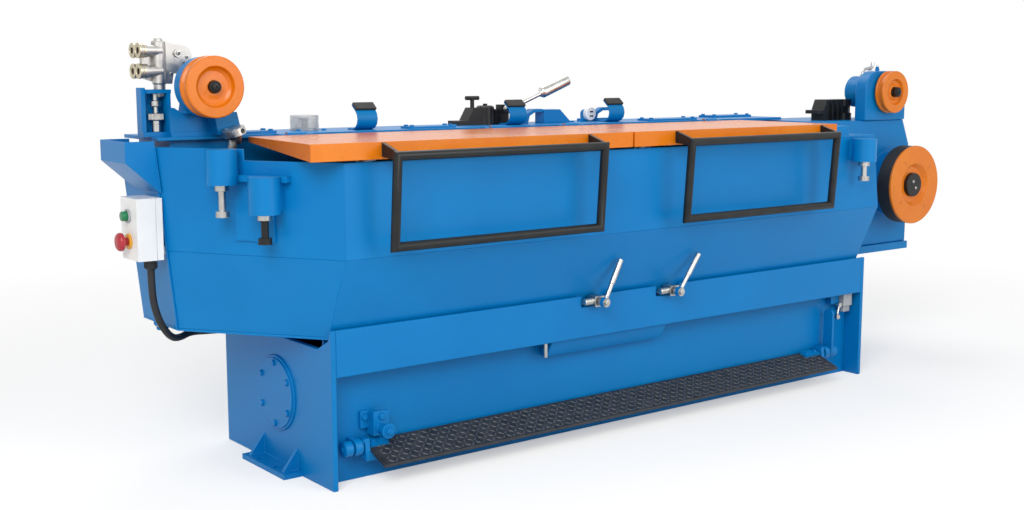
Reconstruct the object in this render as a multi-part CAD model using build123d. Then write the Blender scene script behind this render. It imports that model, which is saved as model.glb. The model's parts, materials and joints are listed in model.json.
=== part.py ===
import os
from math import cos, hypot, radians, sin, tan
from build123d import *

# Slip wire drawing machine. Millimetres. Z up from the floor, X along the wire, operator side at -Y.
# Dimensions count X from the left end of the base and Y from its front face.
# The built parts have their datum at the middle of the base, on the floor.

# Clearances
clear = 6
pin_slip = 0.4

# Base
base_len = 1784
base_depth = 512
plate_t = 12
apron_top = 350
apron_bottom = 247
apron_t = 8
recess = 54
sheet_t = 6
notch_depth = 26
notch_wide = 84
notch_r = 12
notch_left_x = 693
notch_right_x = 942
sump_left_x = 590
sump_right_x = 1002
sump_z = 216
sump_front = 30
sump_slope = 22

# Feet and inspection cover
foot_out = 45
foot_y0 = 140
foot_y1 = 345
foot_t = 12
foot_hole_r = 9
foot_hole_in = 27
foot_hole_pitch = 80
gusset_t = 10
gusset_high = 48
gusset_in = 22
gusset_tip = 8
cover_y = 248
cover_z = 170
cover_r = 81
cover_t = 8

# Trough outline at its floor, at its bend and at its rim
floor_z = 333
bend_z = 505
rim_z = 706
guard_z = 730
trough_front = -55
trough_foot = 20
crease_x = 7
corner_y = 311
end_foot_x = -205
end_rim_x = -245
trough_right_in = 21
trough_right_lean = 27
trough_right_x = base_len - trough_right_in
trough_right_rim_x = trough_right_x - trough_right_lean
guard_share = 0.485

# Gear housing and deck
housing_front = 330
housing_in = 7
housing_rear = base_depth - housing_in
deck_front = 312
deck_t = 8
deck_z = 750
deck_in = 12

# Drawing cones
cone_left_x = 330
cone_right_in = 533
cone_xs = (cone_left_x, trough_right_x - cone_right_in)
cone_z = 545
cone_shaft_r = 25
cone_shaft_in = 40
cone_radii = (150, 132, 114, 96)
cone_groove = 8
cone_lip = 4
cone_step = 34
cone_nose_r = 40
cone_nose = 14

# Inlet chute
chute_out = 65
chute_y0 = 302
chute_y1 = 446
chute_t = 4
chute_up = 13
chute_lip = 45
chute_drop = 98
chute_top = guard_z + chute_up
chute_low = chute_top - chute_lip
chute_join = guard_z - chute_drop
chute_floor_t = 14

# Lids
lid_left_x = -77
lid_left_rear_x = -34
lid_right_in = 188
lid_seam_past = 54
lid_right_x = trough_right_rim_x - lid_right_in
lid_seam_x = (lid_left_x + lid_right_x) / 2 + lid_seam_past
lid_gap = 6
lid_front = -70
lid_rear = 288
lid_top = 747
lid_skin = 3
lid_skirt = 36
lid_skirt_rear = 12
hinge_y = 300
hinge_r = 5
hinge_drop = 2
hinge_shares = (0.15, 0.85)
knuckle_r = 8
knuckle_half = 25
leaf_back = 20
lug_half = 7
lug_at = 38
trim_wide = 72
trim_drop = 8
trim_in = 4

# Lid lifting frames, set in from the ends of each lid
lift_left_in = (170, 136)
lift_right_in = (140, 65)
tube_r = 10
tube_y = -123
tube_lean = 14
tube_top = 720
tube_foot = 532
tube_lug_t = 8
tube_lug_drop = 2
tube_lug_high = 29

# Lid rests: curled strips with rubber pads
rest_xs = (312, 772, 1120)
rest_wide = 56
rest_back = 400
rest_t = 4
rest_foot = 24
rest_bulge_r = 22
pad_run = 24
pad_t = 7
pad_over = 1

# Inlet bracket, guide unit and inlet pulley
bracket_left_x = -252
bracket_right_x = -62
bracket_front = 318
bracket_step_x = -200
bracket_step_y = 342
bracket_rear = 468
bracket_t = 10
wall_rear = 420
shelf_z = 843
shelf_t = 8
shelf_front = 335
shelf_right_x = -190
cheek_top = 800
cheek_t = 20
inlet_r = 66
inlet_x = -133
inlet_z = 857
inlet_face = 232
inlet_wide = 38
inlet_axle_r = 13
inlet_rim = 22
inlet_groove = 9
hub_disc_r = 64
unit_x = -205
unit_y = 362
unit_high = 104
unit_column_r = 14
unit_tube_r = 12
unit_ring_r = 15
unit_ring_long = 14
unit_ring_x = -252
unit_tube_highs = (39, 83)
unit_tube_half = 16
unit_right_x = -137
unit_half = 19
spindle_x = -219
spindle_y = 352

# Outlet tower with head, pulley and capstan
tower_wall_x = trough_right_x
tower_past = 101
tower_front = 150
tower_rear = 440
tower_top = 740
tower_shoulder = 80
tower_chamfer = 36
flange_t = 23
flange_over = 10
flange_drop = 4
outlet_run = 282
outlet_x = tower_wall_x + outlet_run
outlet_z = 826
outlet_r = 64
outlet_face = 104
outlet_wide = 30
outlet_groove = 7
outlet_axle_r = 15
outlet_cap = 8
head_half = 99
head_t = 40
head_top = 890
head_r = 60
bearing_r = 48
bearing_rear = 262
capstan_run = 322
capstan_x = tower_wall_x + capstan_run
tower_right_x = capstan_x + tower_past
capstan_z = 543
capstan_r = 120
capstan_face = 50
capstan_wide = 52
capstan_skin = 14
capstan_lip = 8
capstan_dish_r = 66
capstan_dish = 14
boss_r = 36
capstan_shaft_r = 22
capstan_shaft_in = 40
capstan_seat_r = 100

# Jack bolts
jack_r = 33
cup_gap = 13
jack_one_share = 0.4
jack_one_z = (658, 731)
jack_two_share = 0.63
jack_two_z = (600, 677)
jack_right_in = 120
jack_right_z = (642, 704)
jack_right_gap = 4
jack_half_share = 0.05
jack_rib = 8
bolt_r = 8
nut_r = 16
nut_high = 13
bolt_out = (68, 62, 54)

# Control box
box_deep = 57
box_y0 = 300
box_y1 = 390
box_high = 134
box_under_chute = 10
box_foot_r = 9
start_r = 10.5
start_drop = 39
stop_r = 20
stop_drop = 94
stem_r = 8
button_hole = 14
press_start = 3
press_stop = 4
start_out = 17
stop_out = 30
collar_t = 5
start_collar_r = 15
stop_collar_r = 17
gland_in = 40
gland_y_in = 34
gland_r = 15
gland_long = 24
cord_r = 8
entry_back = 98
entry_drop = 37
# Shares of the way from the box to the entry, along X, Y and Z
cord_shares = (
    (0, 0, 0),
    (0, 0, 0.264),
    (0.027, 0.031, 0.529),
    (0.093, 0.122, 0.77),
    (0.212, 0.306, 0.931),
    (0.384, 0.571, 1),
    (0.577, 0.816, 1.011),
    (0.78, 1, 1),
    (1, 1, 1),
)

# Treadle
treadle_left_x = 100
treadle_right_in = 164
treadle_right_x = base_len - treadle_right_in
treadle_rear = 44
treadle_front = -46
treadle_rear_z = 86
treadle_front_z = 52
treadle_t = 6
pivot_y = 28
pivot_z = 80
pivot_r = 8
spar_y0 = 10
spar_y1 = 40
spar_high = 18
lug_t = 12
bearing_wide = 18
bearing_half = 18
knob_r = 17
knob_t = 18
arm_t = 8
arm_half = 16
arm_top = 205
stop_x = 116
stop_wide = 40
stop_z0 = 98
stop_z1 = 152
stop_front = 24
stop_t = 8
stub_r = 12
stub_disc_r = 17
stub_out = -8
switch_in = 16
switch_wide = 38
switch_z0 = 208
switch_z1 = 262
switch_front = 18

# Valves in the apron notches
valve_in = (40, 44)
valve_tilts = (27, 36)
valve_half = 15
valve_high = 26
valve_front = -22
valve_pipe_r = 8
valve_pipe_long = 40
valve_stem_r = 5
valve_stem_out = 36
lever_hub_r = 11
lever_hub_front = -46
lever_y = -38
lever_neck_r = 4
lever_grip_r = 7
lever_neck = 50
lever_len = 112

# Deck fittings
fitting_y = 430
fitting_half = 20
cup_x = 183
cup_r = 34
cup_t = 3
cup_high = 36
casting_x = 615
casting_boss_x = 718
casting_boss_r = 24
casting_high = 50
handle_x = 679
handle_r = 5.5
handle_half = 20
handle_high = 70
shift_x = 770
shift_z = 790
shift_lug_half = 12
shift_pin_r = 5
shift_hub_r = 11
shift_hub_half = 8
shift_tilt = 20.5
shift_neck = 120
shift_len = 214
shift_neck_r = 5
shift_grip_r = 13
shift_block_x = 846
arch_long = 60
arch_high = 38
arch_bar = 9
arch_in = 5
wedge_long = 97
wedge_flat = 57
wedge_high = 36
post_left = 24
post_right = 84
post_half = 12
post_base = 8
cap_post_x = 1081
cap_z = 771
cap_r = 19
cap_t = 14
exit_run = 66
exit_x = tower_wall_x + exit_run
exit_y = 250
exit_half = 24
exit_high = 63
exit_long = 154
exit_tab = 28
exit_tab_t = 11
exit_bulge_r = 34

parts = {}


def gx(x):
    return x - base_len / 2


def gy(y):
    return y - base_depth / 2


def block(x0, x1, y0, y1, z0, z1):
    place = Pos(gx((x0 + x1) / 2), gy((y0 + y1) / 2), (z0 + z1) / 2)
    return place * Box(abs(x1 - x0), abs(y1 - y0), abs(z1 - z0))


def rod(a, b, r):
    start = Vector(gx(a[0]), gy(a[1]), a[2])
    end = Vector(gx(b[0]), gy(b[1]), b[2])
    run = end - start
    return extrude(Plane(origin=start, z_dir=run) * Circle(r), run.length)


def prism_x(points, x0, x1):
    plane = Plane(origin=(gx(x0), 0, 0), x_dir=(0, 1, 0), z_dir=(1, 0, 0))
    face = make_face(Polyline([(gy(y), z) for y, z in points], close=True))
    return extrude(plane * face, x1 - x0)


def prism_y(points, y0, y1, round_at=(), r=0):
    plane = Plane(origin=(0, gy(y1), 0), x_dir=(1, 0, 0), z_dir=(0, -1, 0))
    face = make_face(Polyline([(gx(x), z) for x, z in points], close=True))
    if round_at:
        spots = [(gx(x), z) for x, z in round_at]
        corners = [v for v in face.vertices() if min(hypot(v.X - sx, v.Y - sz) for sx, sz in spots) < 0.01]
        face = fillet(corners, r)
    return extrude(plane * face, y1 - y0)


def prism_z(points, z0, z1):
    face = make_face(Polyline([(gx(x), gy(y)) for x, y in points], close=True))
    return extrude(Pos(0, 0, z0) * face, z1 - z0)


# The profile lists (radius, y); the axis runs along Y through x, z.
def turned_y(profile, x, z):
    plane = Plane(origin=(gx(x), 0, z), x_dir=(1, 0, 0), z_dir=(0, 0, 1))
    face = make_face(Polyline([(r, gy(y)) for r, y in profile], close=True))
    return revolve(plane * face, Axis((gx(x), 0, z), (0, 1, 0)), 360)


# The profile lists (radius, z); the axis is upright through x, y.
def turned_z(profile, x, y):
    plane = Plane(origin=(gx(x), gy(y), 0), x_dir=(1, 0, 0), z_dir=(0, -1, 0))
    face = make_face(Polyline(profile, close=True))
    return revolve(plane * face, Axis((gx(x), gy(y), 0), (0, 0, 1)), 360)


def node(name, *solids):
    parts[name] = solids


def lerp(a, b, t):
    return a + (b - a) * t


def end_x_at(z):
    return lerp(end_foot_x, end_rim_x, (z - floor_z) / (guard_z - floor_z))


def right_x_at(z):
    return lerp(trough_right_x, trough_right_rim_x, max(0, (z - bend_z) / (rim_z - bend_z)))


# Plan of the trough at a height, from its rear left corner round to its rear right corner.
def outline(z):
    front = lerp(trough_foot, trough_front, min(1, (z - floor_z) / (bend_z - floor_z)))
    return [
        (end_x_at(z), housing_rear),
        (end_x_at(z), corner_y),
        (crease_x, front),
        (right_x_at(z), front),
        (right_x_at(z), housing_rear),
    ]


# The same plan set in by the sheet, mitred at the corners.
def inner(z):
    points = outline(z)
    lines = []
    for (ax, ay), (bx, by) in zip(points, points[1:]):
        run = hypot(bx - ax, by - ay)
        nx = -(by - ay) / run
        ny = (bx - ax) / run
        lines.append((ax + nx * sheet_t, ay + ny * sheet_t, bx - ax, by - ay))
    out = [(lines[0][0], housing_rear)]
    for (px, py, ux, uy), (qx, qy, vx, vy) in zip(lines, lines[1:]):
        k = ((qx - px) * vy - (qy - py) * vx) / (ux * vy - uy * vx)
        out.append((px + ux * k, py + uy * k))
    out.append((lines[-1][0], housing_rear))
    return out


# One wall of the trough between two heights; share cuts it short along its run.
def wall(side, z0, z1, share=1):
    sections = []
    for z in (z0, z1):
        o = outline(z)
        i = inner(z)
        a, b = o[side], o[side + 1]
        c, d = i[side], i[side + 1]
        b = (lerp(a[0], b[0], share), lerp(a[1], b[1], share))
        d = (lerp(c[0], d[0], share), lerp(c[1], d[1], share))
        ring = [(gx(p[0]), gy(p[1])) for p in (a, b, d, c)]
        sections.append(Pos(0, 0, z) * make_face(Polyline(ring, close=True)))
    return loft(sections, ruled=True)


# Point on the outside of the corner wall, share along its run, off clear of it.
def on_corner(share, z, off):
    a = outline(z)[1]
    b = outline(z)[2]
    run = hypot(b[0] - a[0], b[1] - a[1])
    out_x = (b[1] - a[1]) / run
    out_y = -(b[0] - a[0]) / run
    return lerp(a[0], b[0], share) + out_x * off, lerp(a[1], b[1], share) + out_y * off


# Pad that follows the corner wall between two heights.
def corner_pad(share0, share1, z0, z1, thick):
    sections = []
    for z in (z0, z1):
        ring = [on_corner(share0, z, 0), on_corner(share1, z, 0)]
        ring += [on_corner(share1, z, thick), on_corner(share0, z, thick)]
        ring = [(gx(x), gy(y)) for x, y in ring]
        sections.append(Pos(0, 0, z) * make_face(Polyline(ring, close=True)))
    return loft(sections, ruled=True)


# Base frame
in_left = plate_t
in_right = base_len - plate_t
panel_top = floor_z - sheet_t
plate_edge = [
    (0, 0),
    (base_depth, 0),
    (base_depth, panel_top),
    (corner_y, panel_top),
    (corner_y - 50, panel_top - 24),
    (trough_foot + 40, panel_top - 24),
    (apron_t + 6, panel_top),
    (apron_t, apron_top),
    (0, apron_top),
]
node("base_end_plates", prism_x(plate_edge, 0, in_left), prism_x(plate_edge, in_right, base_len))

apron = block(in_left, in_right, 0, apron_t, apron_bottom, apron_top)
for notch in (notch_left_x, notch_right_x):
    low = apron_top - notch_depth
    over = apron_top + notch_depth
    ring = [(notch, low), (notch + notch_wide, low), (notch + notch_wide, over), (notch, over)]
    apron -= prism_y(ring, -1, apron_t + 1, ring[1:2], notch_r)
node("front_apron", apron)

recess_wall = block(in_left, in_right, recess, recess + sheet_t, 0, panel_top)
rear_panel = block(in_left, in_right, base_depth - sheet_t, base_depth, 0, panel_top)
node("base_panels", recess_wall, rear_panel)
node("base_floor", block(in_left, in_right, recess + sheet_t, base_depth - sheet_t, 0, sheet_t))
sump_edge = [
    (sump_left_x, apron_bottom + sump_slope),
    (sump_left_x, sump_z),
    (sump_right_x - sump_slope, sump_z),
    (sump_right_x + sump_slope / 2, apron_bottom + sump_slope),
]
node("sump", prism_y(sump_edge, sump_front, recess))
node("inspection_cover", rod((-cover_t, cover_y, cover_z), (0, cover_y, cover_z), cover_r))


# One floor foot; out is -1 at the left end and 1 at the right end.
def foot(root_x, out):
    tip_x = root_x + out * foot_out
    plate = block(root_x, tip_x, foot_y0, foot_y1, 0, foot_t)
    hole_x = root_x + out * foot_hole_in
    mid = (foot_y0 + foot_y1) / 2
    for y in (mid - foot_hole_pitch / 2, mid + foot_hole_pitch / 2):
        plate -= rod((hole_x, y, -1), (hole_x, y, foot_t + 1), foot_hole_r)
    web = [(root_x, foot_t), (tip_x - out * gusset_tip, foot_t), (root_x, foot_t + gusset_high)]
    for y in (foot_y0 + gusset_in, foot_y1 - gusset_in):
        plate += prism_y(web, y - gusset_t / 2, y + gusset_t / 2)
    return plate


node("foot_brackets", foot(0, -1), foot(base_len, 1))

# Trough
node("trough_floor", prism_z(outline(floor_z), panel_top, floor_z))
node("trough_corner_slope", wall(1, floor_z, bend_z))
node("trough_corner_wall", wall(1, bend_z, rim_z) + wall(1, rim_z, guard_z, guard_share))
node("trough_front_slope", wall(2, floor_z, bend_z))
node("trough_front_wall", wall(2, bend_z, rim_z))
node("trough_ends", wall(0, floor_z, guard_z), wall(3, floor_z, bend_z) + wall(3, bend_z, rim_z))

deck_under = deck_z - deck_t
housing_left = end_foot_x + sheet_t
housing_right = trough_right_rim_x - sheet_t
housing = block(housing_left, housing_right, housing_front, housing_rear, floor_z, deck_under)
for x in cone_xs:
    mouth = (x, housing_front - 1, cone_z)
    housing -= rod(mouth, (x, housing_front + cone_shaft_in + clear, cone_z), cone_shaft_r + pin_slip)
node("gear_housing", housing)
node("deck_plate", block(end_rim_x + deck_in, trough_right_x, deck_front, housing_rear, deck_under, deck_z))

trim_x = lid_right_x + clear
rim_strip = block(trim_x, trough_right_rim_x, trough_front, housing_front, rim_z, rim_z + sheet_t)
trim_top = lid_top - trim_drop
trim_block = block(trim_x, trim_x + trim_wide, trough_front + trim_in, deck_front, rim_z + sheet_t, trim_top)
node("rim_cover", rim_strip + trim_block)

chute_x = end_rim_x - chute_out
chute_edge = [
    (end_x_at(chute_join), chute_join),
    (chute_x, chute_low),
    (chute_x, chute_top),
    (end_x_at(guard_z), chute_top),
    (end_x_at(guard_z), guard_z),
]
chute_inside = [
    (end_x_at(chute_join + chute_floor_t) + 1, chute_join + chute_floor_t),
    (chute_x + chute_t, chute_low + chute_t / 2),
    (chute_x + chute_t, chute_top + 1),
    (end_x_at(guard_z) + 1, chute_top + 1),
]
chute = prism_y(chute_edge, chute_y0, chute_y1)
node("inlet_chute", chute - prism_y(chute_inside, chute_y0 + chute_t, chute_y1 - chute_t))

# Lids
lid_two_x = lid_seam_x + lid_gap
hinge_z = lid_top - hinge_drop


# A lid is a folded sheet: the skirt runs out from front to rear, and the sides may slant.
def lid(x0, x1, rear_x0):
    z0 = lid_top - lid_skirt
    body = prism_z([(x0, lid_front), (x1, lid_front), (x1, lid_rear), (rear_x0, lid_rear)], z0, lid_top)
    under = [
        (lid_front - 1, z0 - 1),
        (lid_rear + 1, z0 - 1),
        (lid_rear + 1, lid_top - lid_skirt_rear),
        (lid_front - 1, z0),
    ]
    body -= prism_x(under, x0 - 1, x1 + 1)
    inside = [
        (x0 + lid_skin, lid_front + lid_skin),
        (x1 - lid_skin, lid_front + lid_skin),
        (x1 - lid_skin, lid_rear + 1),
        (rear_x0 + lid_skin, lid_rear + 1),
    ]
    body -= prism_z(inside, z0 - 1, lid_top - lid_skin)
    for share in hinge_shares:
        x = lerp(rear_x0, x1, share)
        body += rod((x - knuckle_half, hinge_y, hinge_z), (x + knuckle_half, hinge_y, hinge_z), knuckle_r)
        leaf_z = lid_top - lid_skin - hinge_drop
        body += block(x - knuckle_half, x + knuckle_half, lid_rear - leaf_back, hinge_y, leaf_z, hinge_z)
        bore = knuckle_half + 1
        body -= rod((x - bore, hinge_y, hinge_z), (x + bore, hinge_y, hinge_z), hinge_r + pin_slip)
    return body


# The tube frame hangs from two lugs on the lid's front and leans in at its foot.
def lifting_frame(x0, x1):
    foot_y = tube_y + tube_lean
    start = ((x0 + x1) / 2, tube_y, tube_top)
    ring = [(x1, tube_y, tube_top), (x1, foot_y, tube_foot), (x0, foot_y, tube_foot), (x0, tube_y, tube_top)]
    path = Polyline(*[(gx(x), gy(y), z) for x, y, z in [start, *ring, start]])
    frame = sweep(Plane(origin=path @ 0, z_dir=path % 0) * Circle(tube_r), path, transition=Transition.RIGHT)
    lug_top = lid_top - tube_lug_drop
    lug = [
        (lid_front, lug_top),
        (lid_front, lug_top - tube_lug_high),
        (tube_y, tube_top - tube_r + 1),
        (tube_y, tube_top + tube_r - 1),
    ]
    for x in (x0, x1):
        frame += prism_x(lug, x - tube_lug_t / 2, x + tube_lug_t / 2)
    return frame


def hinge_pins(x0, x1):
    pins = []
    for share in hinge_shares:
        x = lerp(x0, x1, share)
        end = lug_at + lug_half
        pin = rod((x - end, hinge_y, hinge_z), (x + end, hinge_y, hinge_z), hinge_r)
        for side in (x - lug_at, x + lug_at):
            span = (side - lug_half, side + lug_half, hinge_y - clear, deck_front)
            pin += block(*span, deck_under, lid_top + hinge_drop)
        pins.append(pin)
    return pins


node("lid_left", lid(lid_left_x, lid_seam_x, lid_left_rear_x))
node("lid_right", lid(lid_two_x, lid_right_x, lid_two_x))
left_span = (lid_left_x + lift_left_in[0], lid_seam_x - lift_left_in[1])
right_span = (lid_two_x + lift_right_in[0], lid_right_x - lift_right_in[1])
node("lid_left_frame", lifting_frame(*left_span))
node("lid_right_frame", lifting_frame(*right_span))
node("lid_hinges", *hinge_pins(lid_left_rear_x, lid_seam_x), *hinge_pins(lid_two_x, lid_right_x))


# Lid rests: each strip curls up and back from its foot, with a pad lying against its top.
def rest_profile(offset):
    r = rest_bulge_r + offset
    mid_y = rest_back - rest_foot
    mid_z = deck_z + rest_t + rest_bulge_r
    turns = (270, 240, 210, 180, 150, 130)
    return [(mid_y + r * cos(radians(t)), mid_z + r * sin(radians(t))) for t in turns]


def rest_top():
    outer_y, outer_z = rest_profile(rest_t)[-1]
    run = (sin(radians(130)), -cos(radians(130)))
    return (outer_y, outer_z), (outer_y + run[0] * pad_run, outer_z + run[1] * pad_run)


def rest_strip(x):
    low, high = rest_top()
    inner_low = rest_profile(0)[-1]
    inner_high = (inner_low[0] + high[0] - low[0], inner_low[1] + high[1] - low[1])
    back = [(rest_back, deck_z + rest_t), (rest_back, deck_z)]
    ring = [*rest_profile(rest_t), high, inner_high, *rest_profile(0)[::-1], *back]
    return prism_x(ring, x - rest_wide / 2, x + rest_wide / 2)


def rest_pad(x):
    low, high = rest_top()
    away = (cos(radians(130)) * pad_t, sin(radians(130)) * pad_t)
    ring = [low, high, (high[0] + away[0], high[1] + away[1]), (low[0] + away[0], low[1] + away[1])]
    half = rest_wide / 2 + pad_over
    return prism_x(ring, x - half, x + half)


node("lid_rest_strips", *[rest_strip(x) for x in rest_xs])
node("lid_rest_pads", *[rest_pad(x) for x in rest_xs])

# Inlet bracket on the deck
bracket_z = deck_z + bracket_t
inlet_back = inlet_face + inlet_wide
hub_front = inlet_back + clear
hub_rear = bracket_front + 4 - cheek_t
bracket_plan = [
    (bracket_left_x, bracket_step_y),
    (bracket_step_x, bracket_step_y),
    (bracket_step_x, bracket_front),
    (bracket_right_x, bracket_front),
    (bracket_right_x, bracket_rear),
    (bracket_left_x, bracket_rear),
]
bracket = prism_z(bracket_plan, deck_z, bracket_z)
wall_x = bracket_left_x + bracket_t
shelf_top = shelf_z + shelf_t
bracket += block(bracket_left_x, wall_x, bracket_step_y + 8, wall_rear, bracket_z, shelf_top + 4)
bracket += block(wall_x, shelf_right_x, shelf_front, wall_rear, shelf_z, shelf_top)
bracket += block(bracket_left_x, shelf_right_x, wall_rear - bracket_t, wall_rear, bracket_z, shelf_z)
cheek_y0 = bracket_front + 4
cheek_y1 = cheek_y0 + cheek_t
cheek = [
    (bracket_step_x, bracket_z),
    (bracket_right_x - 4, bracket_z),
    (bracket_right_x - 4, cheek_top),
    (bracket_step_x + 28, cheek_top),
    (bracket_step_x + 10, cheek_top + 12),
    (bracket_step_x, cheek_top + 12),
]
bracket += prism_y(cheek, cheek_y0, cheek_y1)
post = [
    (inlet_x - 40, cheek_top),
    (inlet_x + 40, cheek_top),
    (inlet_x + 26, inlet_z + 16),
    (inlet_x - 26, inlet_z + 16),
]
bracket += prism_y(post, hub_rear, cheek_y1)
bracket += rod((inlet_x, hub_front, inlet_z), (inlet_x, hub_rear, inlet_z), hub_disc_r)
guide_top = cheek_top + 2
guide_front = cheek_y0 - 40
guide_arm = [(inlet_x + 16, guide_top), (inlet_x + 70, guide_top), (inlet_x + 77, 772), (inlet_x + 26, 752)]
bracket += prism_y(guide_arm, guide_front, cheek_y0)
node("inlet_bracket", bracket)

hub_r = inlet_axle_r + 7
dish = inlet_r - inlet_rim
node(
    "inlet_pulley",
    turned_y(
        [
            (inlet_axle_r + pin_slip, inlet_face + 10),
            (hub_r, inlet_face + 10),
            (hub_r + 8, inlet_face + 15),
            (dish - 10, inlet_face + 15),
            (dish - 3, inlet_face + 11),
            (dish, inlet_face),
            (inlet_r - 2, inlet_face),
            (inlet_r, inlet_face + 2),
            (inlet_r, inlet_face + 14),
            (inlet_r - inlet_groove, inlet_face + 19),
            (inlet_r - inlet_groove, inlet_back - 13),
            (inlet_r, inlet_back - 7),
            (inlet_r, inlet_back),
            (inlet_axle_r + pin_slip, inlet_back),
        ],
        inlet_x,
        inlet_z,
    ),
)
inlet_axle = rod((inlet_x, inlet_face + 3, inlet_z), (inlet_x, hub_front, inlet_z), inlet_axle_r)

# Guide unit: an upright column with two pairs of guide tubes and a bossed casting beside it
unit_z0 = shelf_z + shelf_t
unit_top = unit_z0 + unit_high
unit_foot_r = unit_column_r - 2
unit = turned_z(
    [
        (0, unit_z0),
        (unit_foot_r, unit_z0),
        (unit_foot_r, unit_z0 + 10),
        (unit_column_r, unit_z0 + 12),
        (unit_column_r, unit_top - 3),
        (unit_column_r - 3, unit_top),
        (unit_column_r - 6, unit_top),
        (unit_column_r - 6, unit_top + 5),
        (0, unit_top + 5),
    ],
    unit_x,
    unit_y,
)
cast_y0 = unit_y - unit_half
cast_y1 = unit_y + unit_half
cast_edge = [
    (unit_x + 4, unit_z0 + 12),
    (unit_right_x - 46, unit_z0 + 12),
    (unit_right_x - 42, unit_z0 + 34),
    (unit_right_x - 14, unit_z0 + 34),
    (unit_right_x - 10, unit_z0 + 14),
    (unit_right_x, unit_z0 + 14),
    (unit_right_x, unit_top - 26),
    (unit_right_x - 10, unit_top - 12),
    (unit_x + 20, unit_top - 4),
    (unit_x + 4, unit_top - 4),
]
unit += prism_y(cast_edge, cast_y0, cast_y1)
unit += prism_y(
    [
        (unit_ring_x + 10, unit_z0 + 24),
        (unit_x, unit_z0 + 12),
        (unit_x, unit_top - 6),
        (unit_ring_x + 6, unit_top - 14),
    ],
    unit_y - 6,
    unit_y + 6,
)
for z in (unit_z0 + unit_tube_highs[0], unit_z0 + unit_tube_highs[1]):
    for y in (unit_y - unit_tube_half, unit_y + unit_tube_half):
        ring_x = unit_ring_x + unit_ring_long
        unit += rod((unit_x, y, z), (ring_x, y, z), unit_tube_r)
        unit += rod((ring_x, y, z), (unit_ring_x, y, z), unit_ring_r)
        unit -= rod((unit_ring_x - 1, y, z), (ring_x + 8, y, z), unit_tube_r - 5)
boss_x = unit_right_x - 32
unit += rod((boss_x, cast_y0 - 5, unit_top - 26), (boss_x, cast_y0, unit_top - 26), 9)
unit -= rod((unit_right_x - 16, cast_y0 - 1, unit_top - 50), (unit_right_x - 16, unit_y, unit_top - 50), 5)
node("guide_unit", unit)

node(
    "adjusting_spindle",
    turned_z(
        [
            (0, bracket_z),
            (9.5, bracket_z),
            (9.5, bracket_z + 25),
            (16, bracket_z + 26),
            (16, bracket_z + 40),
            (6, bracket_z + 40),
            (6, shelf_z - 28),
            (12, shelf_z - 28),
            (12, shelf_z - 16),
            (7, shelf_z - 16),
            (7, shelf_z),
            (0, shelf_z),
        ],
        spindle_x,
        spindle_y,
    ),
)

# Wire guide under the pulley: a split ring round a nozzle, hung on the sloping arm
ring_tilt = 18
ring_r = 25
ring_at = (inlet_x + 50, guide_front - ring_r - 1, 760)
ring_half = 8
ring_plane = Plane(
    origin=(gx(ring_at[0]), gy(ring_at[1]), ring_at[2]),
    x_dir=(0, 1, 0),
    z_dir=(-sin(radians(ring_tilt)), 0, cos(radians(ring_tilt))),
)
ring = extrude(ring_plane * Circle(ring_r), ring_half, both=True)
nozzle = ring_plane * Pos(0, 0, -ring_half - 10) * Cone(bottom_radius=7, top_radius=15, height=20)
seat = block(ring_at[0] - 14, ring_at[0] + 14, ring_at[1], guide_front, ring_at[2] - 6, ring_at[2] + 6)
bore = extrude(ring_plane * Circle(ring_r - 8), 60, both=True)
node("wire_guide_clamp", ring + nozzle + (seat - bore))

# Outlet tower
flange_z = floor_z - flange_drop
flange_top = flange_z + flange_t
flange_y0 = tower_front - flange_over
flange_y1 = tower_rear + flange_over
node("tower_flange", block(tower_wall_x, tower_right_x, flange_y0, flange_y1, flange_z, flange_top))
tower_edge = [
    (tower_wall_x, flange_top),
    (tower_right_x, flange_top),
    (tower_right_x, tower_top - tower_shoulder),
    (tower_right_x - tower_chamfer, tower_top),
    (tower_wall_x, tower_top),
]
tower = prism_y(tower_edge, tower_front, tower_rear)
head_front = tower_front - flange_over
head_back = head_front + head_t
head_left = outlet_x - head_half
head_right = outlet_x + head_half
head_edge = [
    (head_left, tower_top),
    (head_right, tower_top),
    (head_right, head_top),
    (head_left, head_top),
]
head = prism_y(head_edge, head_front, head_back, head_edge[2:], head_r)
head += rod((outlet_x, head_back, outlet_z), (outlet_x, bearing_rear, outlet_z), bearing_r)
node("tower_head", head)

outlet_back = outlet_face + outlet_wide
outlet_hub = outlet_axle_r + 5
node(
    "outlet_pulley",
    turned_y(
        [
            (outlet_axle_r + pin_slip, outlet_face + 6),
            (outlet_hub, outlet_face + 6),
            (outlet_hub + 6, outlet_face + 12),
            (outlet_r - 29, outlet_face + 11),
            (outlet_r - 24, outlet_face),
            (outlet_r - 2, outlet_face),
            (outlet_r, outlet_face + 2),
            (outlet_r, outlet_face + 9),
            (outlet_r - outlet_groove, outlet_face + 13),
            (outlet_r - outlet_groove, outlet_back - 9),
            (outlet_r, outlet_back - 5),
            (outlet_r, outlet_back),
            (outlet_axle_r + pin_slip, outlet_back),
        ],
        outlet_x,
        outlet_z,
    ),
)
axle_tip = outlet_face - outlet_cap
outlet_axle = rod((outlet_x, axle_tip, outlet_z), (outlet_x, head_front, outlet_z), outlet_axle_r)
node("pulley_axles", inlet_axle, outlet_axle)

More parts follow.
